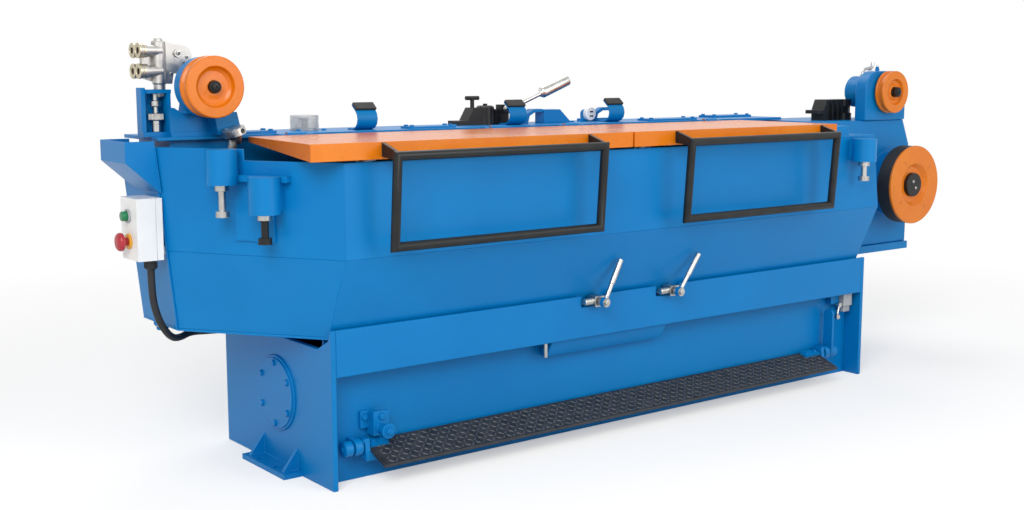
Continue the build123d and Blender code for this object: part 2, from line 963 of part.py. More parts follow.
capstan_back = capstan_face + capstan_wide
capstan_in = capstan_r - capstan_skin
dish_y = capstan_face + capstan_dish
node(
    "capstan_wheel",
    turned_y(
        [
            (boss_r, dish_y),
            (capstan_dish_r - 12, dish_y),
            (capstan_dish_r, capstan_face),
            (capstan_r - 2, capstan_face),
            (capstan_r, capstan_face + 2),
            (capstan_r, capstan_face + capstan_lip),
            (capstan_in, capstan_face + capstan_lip),
            (capstan_in, capstan_back),
            (boss_r, capstan_back),
        ],
        capstan_x,
        capstan_z,
    ),
)
node(
    "capstan_rim",
    turned_y(
        [
            (capstan_in, capstan_face + capstan_lip),
            (capstan_r - 1, capstan_face + capstan_lip),
            (capstan_r - 1, capstan_back),
            (capstan_in, capstan_back),
        ],
        capstan_x,
        capstan_z,
    ),
)
capstan_tail = tower_front + capstan_shaft_in
node(
    "capstan_boss",
    rod((capstan_x, capstan_face + 2, capstan_z), (capstan_x, capstan_back, capstan_z), boss_r)
    + rod((capstan_x, capstan_back, capstan_z), (capstan_x, capstan_tail, capstan_z), capstan_shaft_r),
)
seat_y = capstan_back + clear
tower += rod((capstan_x, seat_y, capstan_z), (capstan_x, tower_front, capstan_z), capstan_seat_r)
shaft_bore = capstan_shaft_r + pin_slip
tower -= rod((capstan_x, capstan_back, capstan_z), (capstan_x, capstan_tail + clear, capstan_z), shaft_bore)
node("tower_body", tower)


# Jack bolts: cups on the trough walls with a bolt and its nut below
def cup(x, y, zs):
    return rod((x, y, zs[0]), (x, y, zs[1]), jack_r)


def jack_bolt(x, y, z, out):
    tip = z - out
    bolt = rod((x, y, tip), (x, y, z), bolt_r)
    for low in (z - nut_high, tip):
        nut = Plane(origin=(gx(x), gy(y), low)) * RegularPolygon(nut_r, 6)
        bolt += extrude(nut, nut_high)
    return bolt


one = on_corner(jack_one_share, bend_z, jack_r + cup_gap)
two = on_corner(jack_two_share, bend_z, jack_r + cup_gap)
right = (trough_right_x - jack_right_in, trough_front - jack_r - jack_right_gap)
rib_thick = cup_gap + jack_rib
pair = cup(*one, jack_one_z) + cup(*two, jack_two_z)
for share, zs in ((jack_one_share, jack_one_z), (jack_two_share, jack_two_z)):
    span = (share - jack_half_share, share + jack_half_share)
    pair += corner_pad(*span, zs[0] + 4, min(zs[1], rim_z) - 4, rib_thick)
link_z = jack_two_z[1] - nut_high
pair += corner_pad(jack_one_share, jack_two_share + 2 * jack_half_share, link_z, jack_two_z[1], rib_thick)
pair += corner_pad(jack_two_share - 2 * jack_half_share, jack_two_share, bend_z + 30, jack_two_z[1], sheet_t)
right_cup = cup(*right, jack_right_z)
span = (right[0] - 20, right[0] + 20, right[1], trough_front)
right_cup += block(*span, jack_right_z[0] + 4, jack_right_z[1] - 4)
node("jack_housings", pair, right_cup)
jack_spots = zip((one, two, right), (jack_one_z, jack_two_z, jack_right_z), bolt_out)
node("jack_bolts", *[jack_bolt(*spot, zs[0], out) for spot, zs, out in jack_spots])

# Control box: it meets the leaning wall at its top and stands on two feet below
box_z1 = chute_join - box_under_chute
box_z0 = box_z1 - box_high
box_back_x = end_x_at(box_z1)
box_face_x = box_back_x - box_deep
start_z = box_z1 - start_drop
stop_z = box_z1 - stop_drop
button_y = (box_y0 + box_y1) / 2 + 2
box = block(box_face_x, box_back_x, box_y0, box_y1, box_z0, box_z1)
for z, r in ((start_z, start_r + pin_slip), (stop_z, stem_r + pin_slip)):
    box -= rod((box_face_x - 1, button_y, z), (box_face_x + button_hole, button_y, z), r)
foot_z = box_z0 + 2 * box_foot_r
for y in (corner_y + 2 * box_foot_r, box_y1 - box_foot_r):
    foot_edge = [
        (box_back_x, foot_z - box_foot_r),
        (end_x_at(foot_z - box_foot_r), foot_z - box_foot_r),
        (end_x_at(foot_z + box_foot_r), foot_z + box_foot_r),
        (box_back_x, foot_z + box_foot_r),
    ]
    box += prism_y(foot_edge, y - box_foot_r, y + box_foot_r)
node("control_box", box)


def collar(z, r, hole):
    ring = rod((box_face_x - collar_t, button_y, z), (box_face_x, button_y, z), r)
    return ring - rod((box_face_x - collar_t - 1, button_y, z), (box_face_x + 1, button_y, z), hole)


node("start_collar", collar(start_z, start_collar_r, start_r + pin_slip))
node("stop_collar", collar(stop_z, stop_collar_r, stem_r + pin_slip))
start_tail = box_face_x + button_hole - clear - press_start
stop_tail = box_face_x + button_hole - clear - press_stop
head_tail = box_face_x - collar_t - clear - press_stop
stop_face = box_face_x - stop_out
start_face = box_face_x - start_out
node("start_button", rod((start_face, button_y, start_z), (start_tail, button_y, start_z), start_r))
node(
    "stop_button",
    rod((stop_face, button_y, stop_z), (head_tail, button_y, stop_z), stop_r)
    + rod((stop_face, button_y, stop_z), (stop_tail, button_y, stop_z), stem_r),
)

# Treadle on two stub pivots in the recess
slope = (treadle_rear_z - treadle_front_z) / (treadle_rear - treadle_front)


def ramp_z(y):
    return treadle_rear_z + (y - treadle_rear) * slope


ramp = [
    (treadle_rear, treadle_rear_z),
    (treadle_front, treadle_front_z),
    (treadle_front, treadle_front_z - treadle_t),
    (treadle_rear, treadle_rear_z - treadle_t),
]
node("treadle_plate", prism_x(ramp, treadle_left_x, treadle_right_x))

lug_left_x = treadle_left_x - lug_t
lug_right_x = treadle_right_x + lug_t
bearing_left_x = lug_left_x - clear - bearing_wide
bearing_right_x = lug_right_x + clear
knob_x = bearing_left_x - clear
arm_x = bearing_right_x + bearing_wide + clear
collar_x = arm_x + arm_t
under = treadle_t
spar = [
    (spar_y0, ramp_z(spar_y0) - under),
    (spar_y1, ramp_z(spar_y1) - under),
    (spar_y1, ramp_z(spar_y1) - under - spar_high),
    (spar_y0, ramp_z(spar_y0) - under - spar_high),
]
lug_edge = [
    (spar_y0, ramp_z(spar_y0) - under - spar_high),
    (spar_y1, ramp_z(spar_y1) - under - spar_high),
    (spar_y1, pivot_z + bearing_half),
    (spar_y0 + 6, pivot_z + bearing_half),
]
treadle_frame = prism_x(spar, lug_left_x, lug_right_x)
treadle_frame += prism_x(lug_edge, lug_left_x, treadle_left_x)
treadle_frame += prism_x(lug_edge, treadle_right_x, lug_right_x)
treadle_frame += rod((knob_x, pivot_y, pivot_z), (lug_left_x, pivot_y, pivot_z), pivot_r)
treadle_frame += rod((knob_x - knob_t, pivot_y, pivot_z), (knob_x, pivot_y, pivot_z), knob_r)
treadle_frame += rod((lug_right_x, pivot_y, pivot_z), (collar_x, pivot_y, pivot_z), pivot_r)
treadle_frame += rod((collar_x, pivot_y, pivot_z), (collar_x + knob_t, pivot_y, pivot_z), knob_r)
arm = block(arm_x, arm_x + arm_t, pivot_y - arm_half, pivot_y + arm_half, pivot_z, arm_top - arm_half)
arm += rod((arm_x, pivot_y, arm_top - arm_half), (arm_x + arm_t, pivot_y, arm_top - arm_half), arm_half)
arm += rod((arm_x, pivot_y, pivot_z), (arm_x + arm_t, pivot_y, pivot_z), arm_half)
node("treadle_frame", treadle_frame + arm)


def bearing(x0):
    x1 = x0 + bearing_wide
    body = block(x0, x1, pivot_y, recess, pivot_z - bearing_half, pivot_z + bearing_half)
    body += rod((x0, pivot_y, pivot_z), (x1, pivot_y, pivot_z), bearing_half)
    return body - rod((x0 - 1, pivot_y, pivot_z), (x1 + 1, pivot_y, pivot_z), pivot_r + pin_slip)


# A stop bracket on the recess wall holds a round buffer towards the operator
stop_mid_x = stop_x + stop_wide / 2
stop_mid_z = (stop_z0 + stop_z1) / 2 - 12
stop_back = stop_front + stop_t
stop = block(stop_x, stop_x + stop_wide, stop_front, stop_back, stop_z0, stop_z1)
stop += block(stop_x, stop_x + stop_t, stop_back, recess, stop_z0, stop_z1)
stop += block(stop_x - stop_wide / 2, stop_x + stop_t, recess - stop_t, recess, stop_mid_z, stop_z1)
disc_y = stub_out + stop_t
stop += rod((stop_mid_x, stop_front, stop_mid_z), (stop_mid_x, disc_y, stop_mid_z), stub_r)
stop += rod((stop_mid_x, disc_y, stop_mid_z), (stop_mid_x, stub_out, stop_mid_z), stub_disc_r)
node("treadle_bearings", bearing(bearing_left_x), bearing(bearing_right_x), stop)

switch_x1 = in_right - switch_in
switch_x0 = switch_x1 - switch_wide
switch = block(switch_x0, switch_x1, switch_front, recess, switch_z0, switch_z1)
switch += block(switch_x0 + 8, switch_x1 - 4, switch_front + 6, recess - 10, switch_z0 - 18, switch_z0)
node("limit_switch", switch)

# Valves
valve_z = apron_top - notch_depth
stem_z = valve_z + valve_high / 2


def valve(x):
    body = block(x - valve_half, x + valve_half, valve_front, apron_t, valve_z, valve_z + valve_high)
    pipe_y = valve_front / 2 + 3
    body += rod((x - valve_pipe_long, pipe_y, stem_z), (x, pipe_y, stem_z), valve_pipe_r)
    body += rod((x, -valve_stem_out, stem_z), (x, valve_front, stem_z), valve_stem_r)
    return body


def valve_lever(x, tilt):
    ux = sin(radians(tilt))
    uz = cos(radians(tilt))
    root = (x, lever_y, stem_z)
    neck = (x + ux * lever_neck, lever_y, stem_z + uz * lever_neck)
    tip = (x + ux * lever_len, lever_y, stem_z + uz * lever_len)
    piece = rod((x, lever_hub_front, stem_z), (x, valve_front - clear, stem_z), lever_hub_r)
    piece += rod(root, neck, lever_neck_r) + rod(neck, tip, lever_grip_r)
    return piece - rod((x, -valve_stem_out - 1, stem_z), (x, 0, stem_z), valve_stem_r + pin_slip)


valve_xs = (notch_left_x + valve_in[0], notch_right_x + valve_in[1])
node("valve_bodies", *[valve(x) for x in valve_xs])
node("valve_lever_left", valve_lever(valve_xs[0], valve_tilts[0]))
node("valve_lever_right", valve_lever(valve_xs[1], valve_tilts[1]))

# Deck fittings: sight cup, clamp casting with its shift lever, brackets and filler cap
fit_y0 = fitting_y - fitting_half
fit_y1 = fitting_y + fitting_half
cup_top = deck_z + cup_high
node(
    "sight_cup",
    rod((cup_x, fitting_y, deck_z), (cup_x, fitting_y, cup_top), cup_r)
    - rod((cup_x, fitting_y, deck_z - 1), (cup_x, fitting_y, cup_top - cup_t), cup_r - cup_t),
)

casting_top = deck_z + casting_high - 5
casting = prism_y(
    [
        (casting_x, deck_z),
        (shift_x + shift_lug_half, deck_z),
        (shift_x + shift_lug_half, deck_z + 20),
        (casting_boss_x + 38, casting_top - 6),
        (casting_boss_x - 20, casting_top),
        (casting_x + 56, casting_top),
        (casting_x + 36, deck_z + 12),
        (casting_x, deck_z + 12),
    ],
    fit_y0,
    fit_y1,
)
casting += turned_z(
    [
        (0, deck_z),
        (casting_boss_r, deck_z),
        (casting_boss_r, deck_z + casting_high - 4),
        (casting_boss_r - 5, deck_z + casting_high),
        (6, deck_z + casting_high),
        (6, deck_z + casting_high + 5),
        (0, deck_z + casting_high + 5),
    ],
    casting_boss_x,
    fitting_y - 4,
)
for x in (casting_boss_x + 26, casting_boss_x + 38):
    casting += block(x - 3, x + 3, fit_y0 - 4, fit_y0, deck_z, casting_top - 8)
handle_z = deck_z + handle_high
casting += rod((handle_x, fitting_y, casting_top), (handle_x, fitting_y, handle_z), handle_r)
bar_end = handle_x + handle_half
casting += rod((handle_x - handle_half, fitting_y, handle_z), (bar_end, fitting_y, handle_z), handle_r)
shift_y = fit_y0 - 4 - clear - shift_hub_half
shift_front = shift_y - shift_hub_half
lug_back = fit_y0 + 22
shift_lug_front = shift_y + shift_hub_half + clear
casting += block(
    shift_x - shift_lug_half,
    shift_x + shift_lug_half,
    shift_lug_front,
    lug_back,
    deck_z,
    shift_z + shift_lug_half,
)
casting += rod((shift_x, shift_front - 2, shift_z), (shift_x, shift_lug_front, shift_z), shift_pin_r)

ux = cos(radians(shift_tilt))
uz = sin(radians(shift_tilt))
neck_end = (shift_x + ux * shift_neck, shift_y, shift_z + uz * shift_neck)
grip_end = (shift_x + ux * shift_len, shift_y, shift_z + uz * shift_len)
shift_back = shift_y + shift_hub_half
shift = rod((shift_x, shift_front, shift_z), (shift_x, shift_back, shift_z), shift_hub_r)
shift += rod((shift_x, shift_y, shift_z), neck_end, shift_neck_r)
shift += rod(neck_end, grip_end, shift_grip_r)
pin_hole = shift_pin_r + pin_slip
shift -= rod((shift_x, shift_front - 1, shift_z), (shift_x, shift_back + 1, shift_z), pin_hole)
node("shift_lever", shift)


# An arched bracket of flat bar, rising from the deck at its left foot
def arch(x):
    top = deck_z + arch_high
    return [
        (x, deck_z),
        (x + arch_bar, deck_z),
        (x + arch_long * 0.25, top - arch_bar * 2),
        (x + arch_long * 0.55, top - arch_bar),
        (x + arch_long, top - arch_bar),
        (x + arch_long, top),
        (x + arch_long * 0.5, top),
        (x + arch_long * 0.1, top - arch_bar * 1.4),
    ]


wedge_x = shift_block_x + arch_long
wedge_top = deck_z + wedge_high
wedge = [
    (wedge_x, deck_z),
    (wedge_x + wedge_long, deck_z),
    (wedge_x + wedge_flat, wedge_top),
    (wedge_x, wedge_top),
]
block_one = prism_y(arch(shift_block_x), fit_y0 + arch_in, fit_y1 - arch_in) + prism_y(wedge, fit_y0, fit_y1)
post_x0 = cap_post_x - post_left
post_x1 = cap_post_x + post_right
block_two = block(post_x0, post_x1, fitting_y, fit_y1, deck_z, deck_z + post_base)
block_two += block(cap_post_x - post_half, cap_post_x + post_half, fitting_y, fit_y1, deck_z, cap_z)
block_two += rod((cap_post_x, fitting_y, cap_z), (cap_post_x, fit_y1, cap_z), post_half)
block_two += prism_y(arch(post_x1 - arch_long), fitting_y, fit_y1)
node("shift_blocks", block_one, block_two)
node("filler_cap", rod((cap_post_x, fitting_y - cap_t, cap_z), (cap_post_x, fitting_y, cap_z), cap_r))

exit_top = tower_top + exit_high
exit_tab_z = exit_top - exit_high / 2
exit_body = prism_y(
    [
        (exit_x + exit_tab, tower_top),
        (exit_x + exit_long, tower_top),
        (exit_x + exit_long, exit_top),
        (exit_x + exit_tab * 1.5, exit_top),
        (exit_x + exit_tab, exit_tab_z),
        (exit_x, exit_tab_z),
        (exit_x, exit_tab_z - exit_tab_t),
        (exit_x + exit_tab, exit_tab_z - exit_tab_t),
    ],
    exit_y - exit_half,
    exit_y + exit_half,
)
bulge_x = exit_x + exit_long - exit_bulge_r / 2
third = exit_high / 3
for low, high, r in ((0, 1, exit_bulge_r), (1, 2, exit_bulge_r - 7), (2, 3, exit_bulge_r - 2)):
    step = (bulge_x, exit_y, tower_top + low * third)
    exit_body += rod(step, (bulge_x, exit_y, tower_top + high * third), r)
node("black_castings", casting, exit_body)


# Stepped drawing cones in the trough
def cone(x):
    y = housing_front - clear
    tail = housing_front + cone_shaft_in
    profile = [(0, tail), (cone_shaft_r, tail), (cone_shaft_r, y), (cone_radii[0], y)]
    for r in cone_radii:
        deep = r - cone_groove
        profile += [(r, y - cone_lip), (deep, y - 2 * cone_lip), (deep, y - cone_step)]
        y -= cone_step
    profile += [(cone_nose_r, y), (cone_nose_r, y - cone_nose), (0, y - cone_nose)]
    return turned_y(profile, x, cone_z)


node("drawing_cone_left", cone(cone_xs[0]))
node("drawing_cone_right", cone(cone_xs[1]))

# Cord from the box's gland down and under the trough to an entry gland on the base
gland_x = box_face_x + gland_in
gland_y = box_y0 + gland_y_in
gland_low = box_z0 - gland_long
entry_y = gland_y + entry_back
entry_z = panel_top - entry_drop
node(
    "cable_gland",
    rod((gland_x, gland_y, gland_low), (gland_x, gland_y, box_z0), gland_r),
    rod((-gland_long, entry_y, entry_z), (0, entry_y, entry_z), gland_r),
)
cord_from = (gland_x, gland_y, gland_low)
cord_to = (-gland_long, entry_y, entry_z)
cord_points = [[lerp(a, b, t) for a, b, t in zip(cord_from, cord_to, shares)] for shares in cord_shares]


def cord(points, r):
    pts = [Vector(gx(p[0]), gy(p[1]), p[2]) for p in points]
    radii = []
    for a, b, c in zip(pts, pts[1:], pts[2:]):
        turn = (b - a).get_angle(c - b)
        short = min((b - a).length, (c - b).length)
        radii.append(0.45 * short / tan(radians(turn / 2)))
    print("cord radii", [round(v, 1) for v in radii])
    path = FilletPolyline(*pts, radius=radii)
    print("cord length", round(path.length, 1))
    return sweep(Plane(origin=pts[0], z_dir=pts[1] - pts[0]) * Circle(r), path)


node("control_cable", cord(cord_points, cord_r))

os.makedirs("parts", exist_ok=True)
for name, solids in parts.items():
    flat = []
    for shape in solids:
        flat += list(shape.solids())
    export_step(flat[0] if len(flat) == 1 else Compound(children=flat), f"parts/{name}.step")
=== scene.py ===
import json
import math

import bmesh
import bpy
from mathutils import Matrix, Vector


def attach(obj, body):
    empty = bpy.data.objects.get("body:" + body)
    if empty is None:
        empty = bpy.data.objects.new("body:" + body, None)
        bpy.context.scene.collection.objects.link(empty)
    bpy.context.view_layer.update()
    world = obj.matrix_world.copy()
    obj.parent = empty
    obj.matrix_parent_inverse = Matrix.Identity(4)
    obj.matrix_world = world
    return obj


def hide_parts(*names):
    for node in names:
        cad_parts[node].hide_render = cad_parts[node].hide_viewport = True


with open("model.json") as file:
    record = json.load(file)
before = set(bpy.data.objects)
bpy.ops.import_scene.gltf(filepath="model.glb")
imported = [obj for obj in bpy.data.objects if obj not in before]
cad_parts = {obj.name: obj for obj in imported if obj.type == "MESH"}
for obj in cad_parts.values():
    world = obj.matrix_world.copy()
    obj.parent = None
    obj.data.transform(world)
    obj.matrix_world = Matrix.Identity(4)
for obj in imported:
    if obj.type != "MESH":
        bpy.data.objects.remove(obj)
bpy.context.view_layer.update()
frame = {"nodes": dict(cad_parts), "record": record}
nodes = frame["nodes"]
bodyOf = {n: b for b, members in frame["record"]["behaviour"]["bodies"].items() for n in members}
slotOf = {s["node"]: s["material_slot"] for s in frame["record"]["subparts"]}
mm = 0.001
datum = Vector((892, 256, 0))  # the frame's zero, measured from the base's left front foot
print("frame loaded,", len(nodes), "nodes")


def at(x, y, z):
    return (Vector((x, y, z)) - datum) * mm


# camera where the photographer stood, worked back from the machine's straight edges
shot = {"spot": (-2.2125, -2.5899, 0.8919), "yaw": 37.64, "pitch": 8.14, "lens": 45.39}
camData = bpy.data.cameras.new("shopCamera")
camData.sensor_fit = "HORIZONTAL"
camData.sensor_width = 36
camData.lens = shot["lens"]
camData.clip_start = 0.05
cam = bpy.data.objects.new("shopCamera", camData)
cam.location = shot["spot"]
cam.rotation_euler = (math.radians(90 - shot["pitch"]), 0, -math.radians(shot["yaw"]))
bpy.context.scene.collection.objects.link(cam)
bpy.context.scene.camera = cam
bpy.context.scene.view_settings.view_transform = "Standard"


def linear(code):
    out = []
    for i in (1, 3, 5):
        c = int(code[i:i + 2], 16) / 255
        out.append(c / 12.92 if c <= 0.04045 else ((c + 0.055) / 1.055) ** 2.4)
    return (*out, 1)


def addNode(tree, kind, settings=None, links=None):
    node = tree.nodes.new(kind)
    for key, value in (settings or {}).items():
        if isinstance(key, int) or key in node.inputs:
            node.inputs[key].default_value = value
        else:
            setattr(node, key, value)
    for socket, source in (links or {}).items():
        tree.links.new(source, node.inputs[socket])
    return node


# every finish: two close tones drifting over a patch, roughness with it, fine grain as bump
finishes = {
    # sprayed machine enamel: even, half gloss, a faint orange peel that breaks up the highlights
    "machine_blue": {"name": "enamelBlueSprayed", "colour": "#0073B6", "other": "#007DC0", "patchMm": 420,
                     "rough": (0.3, 0.42), "grainMm": 5, "bump": 0.06, "shader": {"Specular IOR Level": 0.22}},
    # the same enamel in signal orange, glossier, so the flat lids pick up the pale ceiling
    "safety_orange": {"name": "enamelOrangeGloss", "colour": "#D97003", "other": "#E07D12", "patchMm": 130,
                      "rough": (0.22, 0.3), "grainMm": 5, "bump": 0.02, "shader": {"Specular IOR Level": 0.4}},
    # brushed-on black paint on tube and castings: satin, with a slight grey bloom
    "black_paint": {"name": "blackPaintSatin", "colour": "#151617", "other": "#222324", "patchMm": 45,
                    "rough": (0.28, 0.42), "grainMm": 3, "bump": 0.1, "shader": {"Specular IOR Level": 0.3}},
    # rolled checker plate, painted black: dull between the lugs
    "tread_plate": {"name": "checkerPlateBlack", "colour": "#1E2023", "other": "#34373B", "patchMm": 30,
                    "rough": (0.45, 0.65), "grainMm": 3, "bump": 0.2},
    # zinc-plated turned steel: bright, slightly cloudy
    "bright_steel": {"name": "zincPlatedSteel", "colour": "#B2B1AE", "other": "#C8C7C4", "patchMm": 22,
                     "rough": (0.24, 0.4), "grainMm": 1.5, "bump": 0.05, "shader": {"Metallic": 1.0}},
    # sand-cast aluminium, tumbled: pale with a fine pebbled skin
    "cast_aluminium": {"name": "sandCastAluminium", "colour": "#AEACA8", "other": "#C6C4C0", "patchMm": 18,
                       "rough": (0.34, 0.52), "grainMm": 2.2, "bump": 0.35, "shader": {"Metallic": 1.0}},
    # ground tool steel, the working face of a drawing cone
    "drawing_steel": {"name": "groundToolSteel", "colour": "#A4A6AA", "other": "#BDBFC2", "patchMm": 40,
                      "rough": (0.18, 0.32), "grainMm": 1.2, "bump": 0.05, "shader": {"Metallic": 1.0}},
    # moulded nitrile rubber: near black, matt
    "black_rubber": {"name": "nitrileRubberMoulded", "colour": "#1A1A1A", "other": "#292929", "patchMm": 22,
                     "rough": (0.55, 0.75), "grainMm": 2, "bump": 0.25},
    # glass-filled nylon, as moulded
    "black_plastic": {"name": "nylonBlackMoulded", "colour": "#161618", "other": "#242426", "patchMm": 20,
                      "rough": (0.4, 0.55), "grainMm": 1.5, "bump": 0.15},
    # ABS enclosure with a fine moulded texture
    "white_plastic": {"name": "absWhiteTextured", "colour": "#ECECEB", "other": "#F3F3F2", "patchMm": 50,
                      "rough": (0.36, 0.5), "grainMm": 1.6, "bump": 0.1},
    # polycarbonate in light grey, satin
    "grey_plastic": {"name": "polycarbonateGrey", "colour": "#9DA1A4", "other": "#B1B5B8", "patchMm": 25,
                     "rough": (0.35, 0.5), "grainMm": 2, "bump": 0.08},
    # polished push-button caps
    "green_plastic": {"name": "buttonCapGreen", "colour": "#0B7546", "other": "#128052", "patchMm": 15,
                      "rough": (0.2, 0.32), "grainMm": 2, "bump": 0.04},
    "red_plastic": {"name": "buttonCapRed", "colour": "#A81E2C", "other": "#B62C38", "patchMm": 15,
                    "rough": (0.24, 0.38), "grainMm": 2, "bump": 0.04},
    "yellow_plastic": {"name": "buttonRingYellow", "colour": "#DE9C16", "other": "#E8AB2A", "patchMm": 15,
                       "rough": (0.3, 0.45), "grainMm": 2, "bump": 0.04},
    # clear acrylic cup: slightly grey in the wall, scratched a little
    "clear_plastic": {"name": "acrylicClear", "colour": "#DDE0E1", "other": "#F2F4F4", "patchMm": 30,
                      "rough": (0.1, 0.24), "grainMm": 6, "bump": 0.1,
                      "shader": {"Transmission Weight": 0.75, "IOR": 1.49}},
}


def makeFinish(look):
    mat = bpy.data.materials.new(look["name"])
    mat.use_nodes = True
    tree = mat.node_tree
    shader = tree.nodes["Principled BSDF"]
    for socket, value in look.get("shader", {}).items():
        shader.inputs[socket].default_value = value
    coords = addNode(tree, "ShaderNodeTexCoord").outputs["Object"]
    drift = addNode(tree, "ShaderNodeTexNoise", {"Scale": 1000 / look["patchMm"], "Detail": 4.0, "Roughness": 0.6},
                    {"Vector": coords})
    spread = addNode(tree, "ShaderNodeMapRange", {"From Min": 0.3, "From Max": 0.7}, {"Value": drift.outputs["Fac"]})
    tone = addNode(tree, "ShaderNodeMix", {"data_type": "RGBA", 6: linear(look["colour"]), 7: linear(look["other"])},
                   {0: spread.outputs["Result"]})
    rough = addNode(tree, "ShaderNodeMapRange", {"To Min": look["rough"][0], "To Max": look["rough"][1]},
                    {"Value": spread.outputs["Result"]})
    grain = addNode(tree, "ShaderNodeTexNoise", {"Scale": 1000 / look["grainMm"], "Detail": 2.0}, {"Vector": coords})
    bump = addNode(tree, "ShaderNodeBump", {"Strength": look["bump"], "Distance": 0.0004},
                   {"Height": grain.outputs["Fac"]})
    tree.links.new(tone.outputs[2], shader.inputs["Base Color"])
    tree.links.new(rough.outputs["Result"], shader.inputs["Roughness"])
    tree.links.new(bump.outputs["Normal"], shader.inputs["Normal"])
    return mat


mats = {slot: makeFinish(look) for slot, look in finishes.items()}
# lug tops rubbed by shoes: the same plate, greyer and smoother
lugFinish = makeFinish({"name": "checkerLugRubbed", "colour": "#2B2D30", "other": "#595C60", "patchMm": 14,
                        "rough": (0.28, 0.42), "grainMm": 2, "bump": 0.1})
# painted shade for hollows: a near-black finish on shallow discs and thin sheets that stand in for the depth of
# sockets, slots and bores
paintedShadeFinish = makeFinish({"name": "paintedHollowShade", "colour": "#0C0C0D", "other": "#171717", "patchMm": 8,
                         "rough": (0.4, 0.6), "grainMm": 2, "bump": 0.05})
print("finishes made:", len(mats) + 2)


def smoothByAngle(mesh, degrees=32):
    mesh.polygons.foreach_set("use_smooth", [True] * len(mesh.polygons))
    mesh.set_sharp_from_angle(angle=math.radians(degrees))


# puts a mesh on its body with its finish
def mount(name, mesh, body, slot, stands=None, look=None):
    mesh.materials.clear()
    mesh.materials.append(look or mats[slot])
    smoothByAngle(mesh)
    piece = bpy.data.objects.new(name, mesh)
    bpy.context.scene.collection.objects.link(piece)
    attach(piece, body)
    if stands:
        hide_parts(stands)
    return piece


def settle(name, bm, body, slot, stands=None, look=None):
    bmesh.ops.remove_doubles(bm, verts=bm.verts, dist=1e-6)
    bmesh.ops.recalc_face_normals(bm, faces=bm.faces)
    mesh = bpy.data.meshes.new(name)
    bm.to_mesh(mesh)
    bm.free()
    mount(name, mesh, body, slot, stands, look)


# a turned piece: profile of (radius, along) from spot, along aim, all in mm
def turn(bm, profile, spot, aim, sides):
    lay = Vector(aim).normalized().to_track_quat("Z", "Y").to_matrix()
    rings = []
    for r, a in profile:
        count = 1 if r == 0 else sides
        ring = []
        for k in range(count):
            t = 2 * math.pi * k / sides
            ring.append(bm.verts.new(at(*(Vector(spot) + lay @ Vector((r * math.cos(t), r * math.sin(t), a))))))
        rings.append(ring)
    for low, high in zip(rings, rings[1:]):
        for k in range(sides):
            quad = [low[k % len(low)], low[(k + 1) % len(low)], high[(k + 1) % len(high)], high[k % len(high)]]
            face = list(dict.fromkeys(quad))
            if len(face) > 2:
                bm.faces.new(face)


# a flat ring of points pushed out along lift
def slab(bm, ring, lift):
    low = [bm.verts.new(at(*p)) for p in ring]
    high = [bm.verts.new(at(*(Vector(p) + Vector(lift)))) for p in ring]
    bm.faces.new(low)
    bm.faces.new(high[::-1])
    for k in range(len(ring)):
        n = (k + 1) % len(ring)
        bm.faces.new([low[k], low[n], high[n], high[k]])


# a square block, from and to along each axis
def block(bm, x, y, z):
    slab(bm, [(x[0], y[0], z[0]), (x[1], y[0], z[0]), (x[1], y[1], z[0]), (x[0], y[1], z[0])], (0, 0, z[1] - z[0]))


# a round bar through points, with the section carried along
def pipe(bm, route, r, sides):
    pts = [Vector(p) for p in route]
    side = (pts[1] - pts[0]).orthogonal().normalized()
    rings = []
    for k, p in enumerate(pts):
        run = (pts[min(k + 1, len(pts) - 1)] - pts[max(k - 1, 0)]).normalized()
        side = (side - run * side.dot(run)).normalized()
        up = run.cross(side)
        ring = []
        for j in range(sides):
            t = 2 * math.pi * j / sides
            ring.append(bm.verts.new(at(*(p + (side * math.cos(t) + up * math.sin(t)) * r))))
        rings.append(ring)
    for low, high in zip(rings, rings[1:]):
        for j in range(sides):
            n = (j + 1) % sides
            bm.faces.new([low[j], low[n], high[n], high[j]])
    bm.faces.new(rings[0][::-1])
    bm.faces.new(rings[-1])


# a CAD node again with its edges eased, so that they catch the light
def ease(name, widthMm, grooves=None):
    mesh = nodes[name].data.copy()
    bm = bmesh.new()
    bm.from_mesh(mesh)
    bmesh.ops.remove_doubles(bm, verts=bm.verts, dist=1e-6)
    bmesh.ops.dissolve_limit(bm, angle_limit=math.radians(1.5), verts=bm.verts, edges=bm.edges)
    bm.to_mesh(mesh)
    bm.free()
    piece = mount(name + "_eased", mesh, bodyOf[name], slotOf[name], name)
    if grooves:
        cutMesh = bpy.data.meshes.new("grooveCutter")
        grooves.to_mesh(cutMesh)
        grooves.free()
        cutter = bpy.data.objects.new("grooveCutter", cutMesh)
        bpy.context.scene.collection.objects.link(cutter)
        cut = piece.modifiers.new("groove", "BOOLEAN")
        cut.object = cutter
        cut.operation = "DIFFERENCE"
        cut.solver = "MANIFOLD"
    mod = piece.modifiers.new("ease", "BEVEL")
    mod.width = widthMm * mm
    mod.segments = 2
    mod.limit_method = "ANGLE"
    mod.angle_limit = math.radians(40)
    level = piece.modifiers.new("level", "WEIGHTED_NORMAL")  # keeps the big faces looking flat
    level.keep_sharp = True
    graph = bpy.context.evaluated_depsgraph_get()
    eased = bpy.data.meshes.new_from_object(piece.evaluated_get(graph))
    piece.modifiers.clear()
    if grooves:
        bpy.data.objects.remove(cutter)
    piece.data = eased


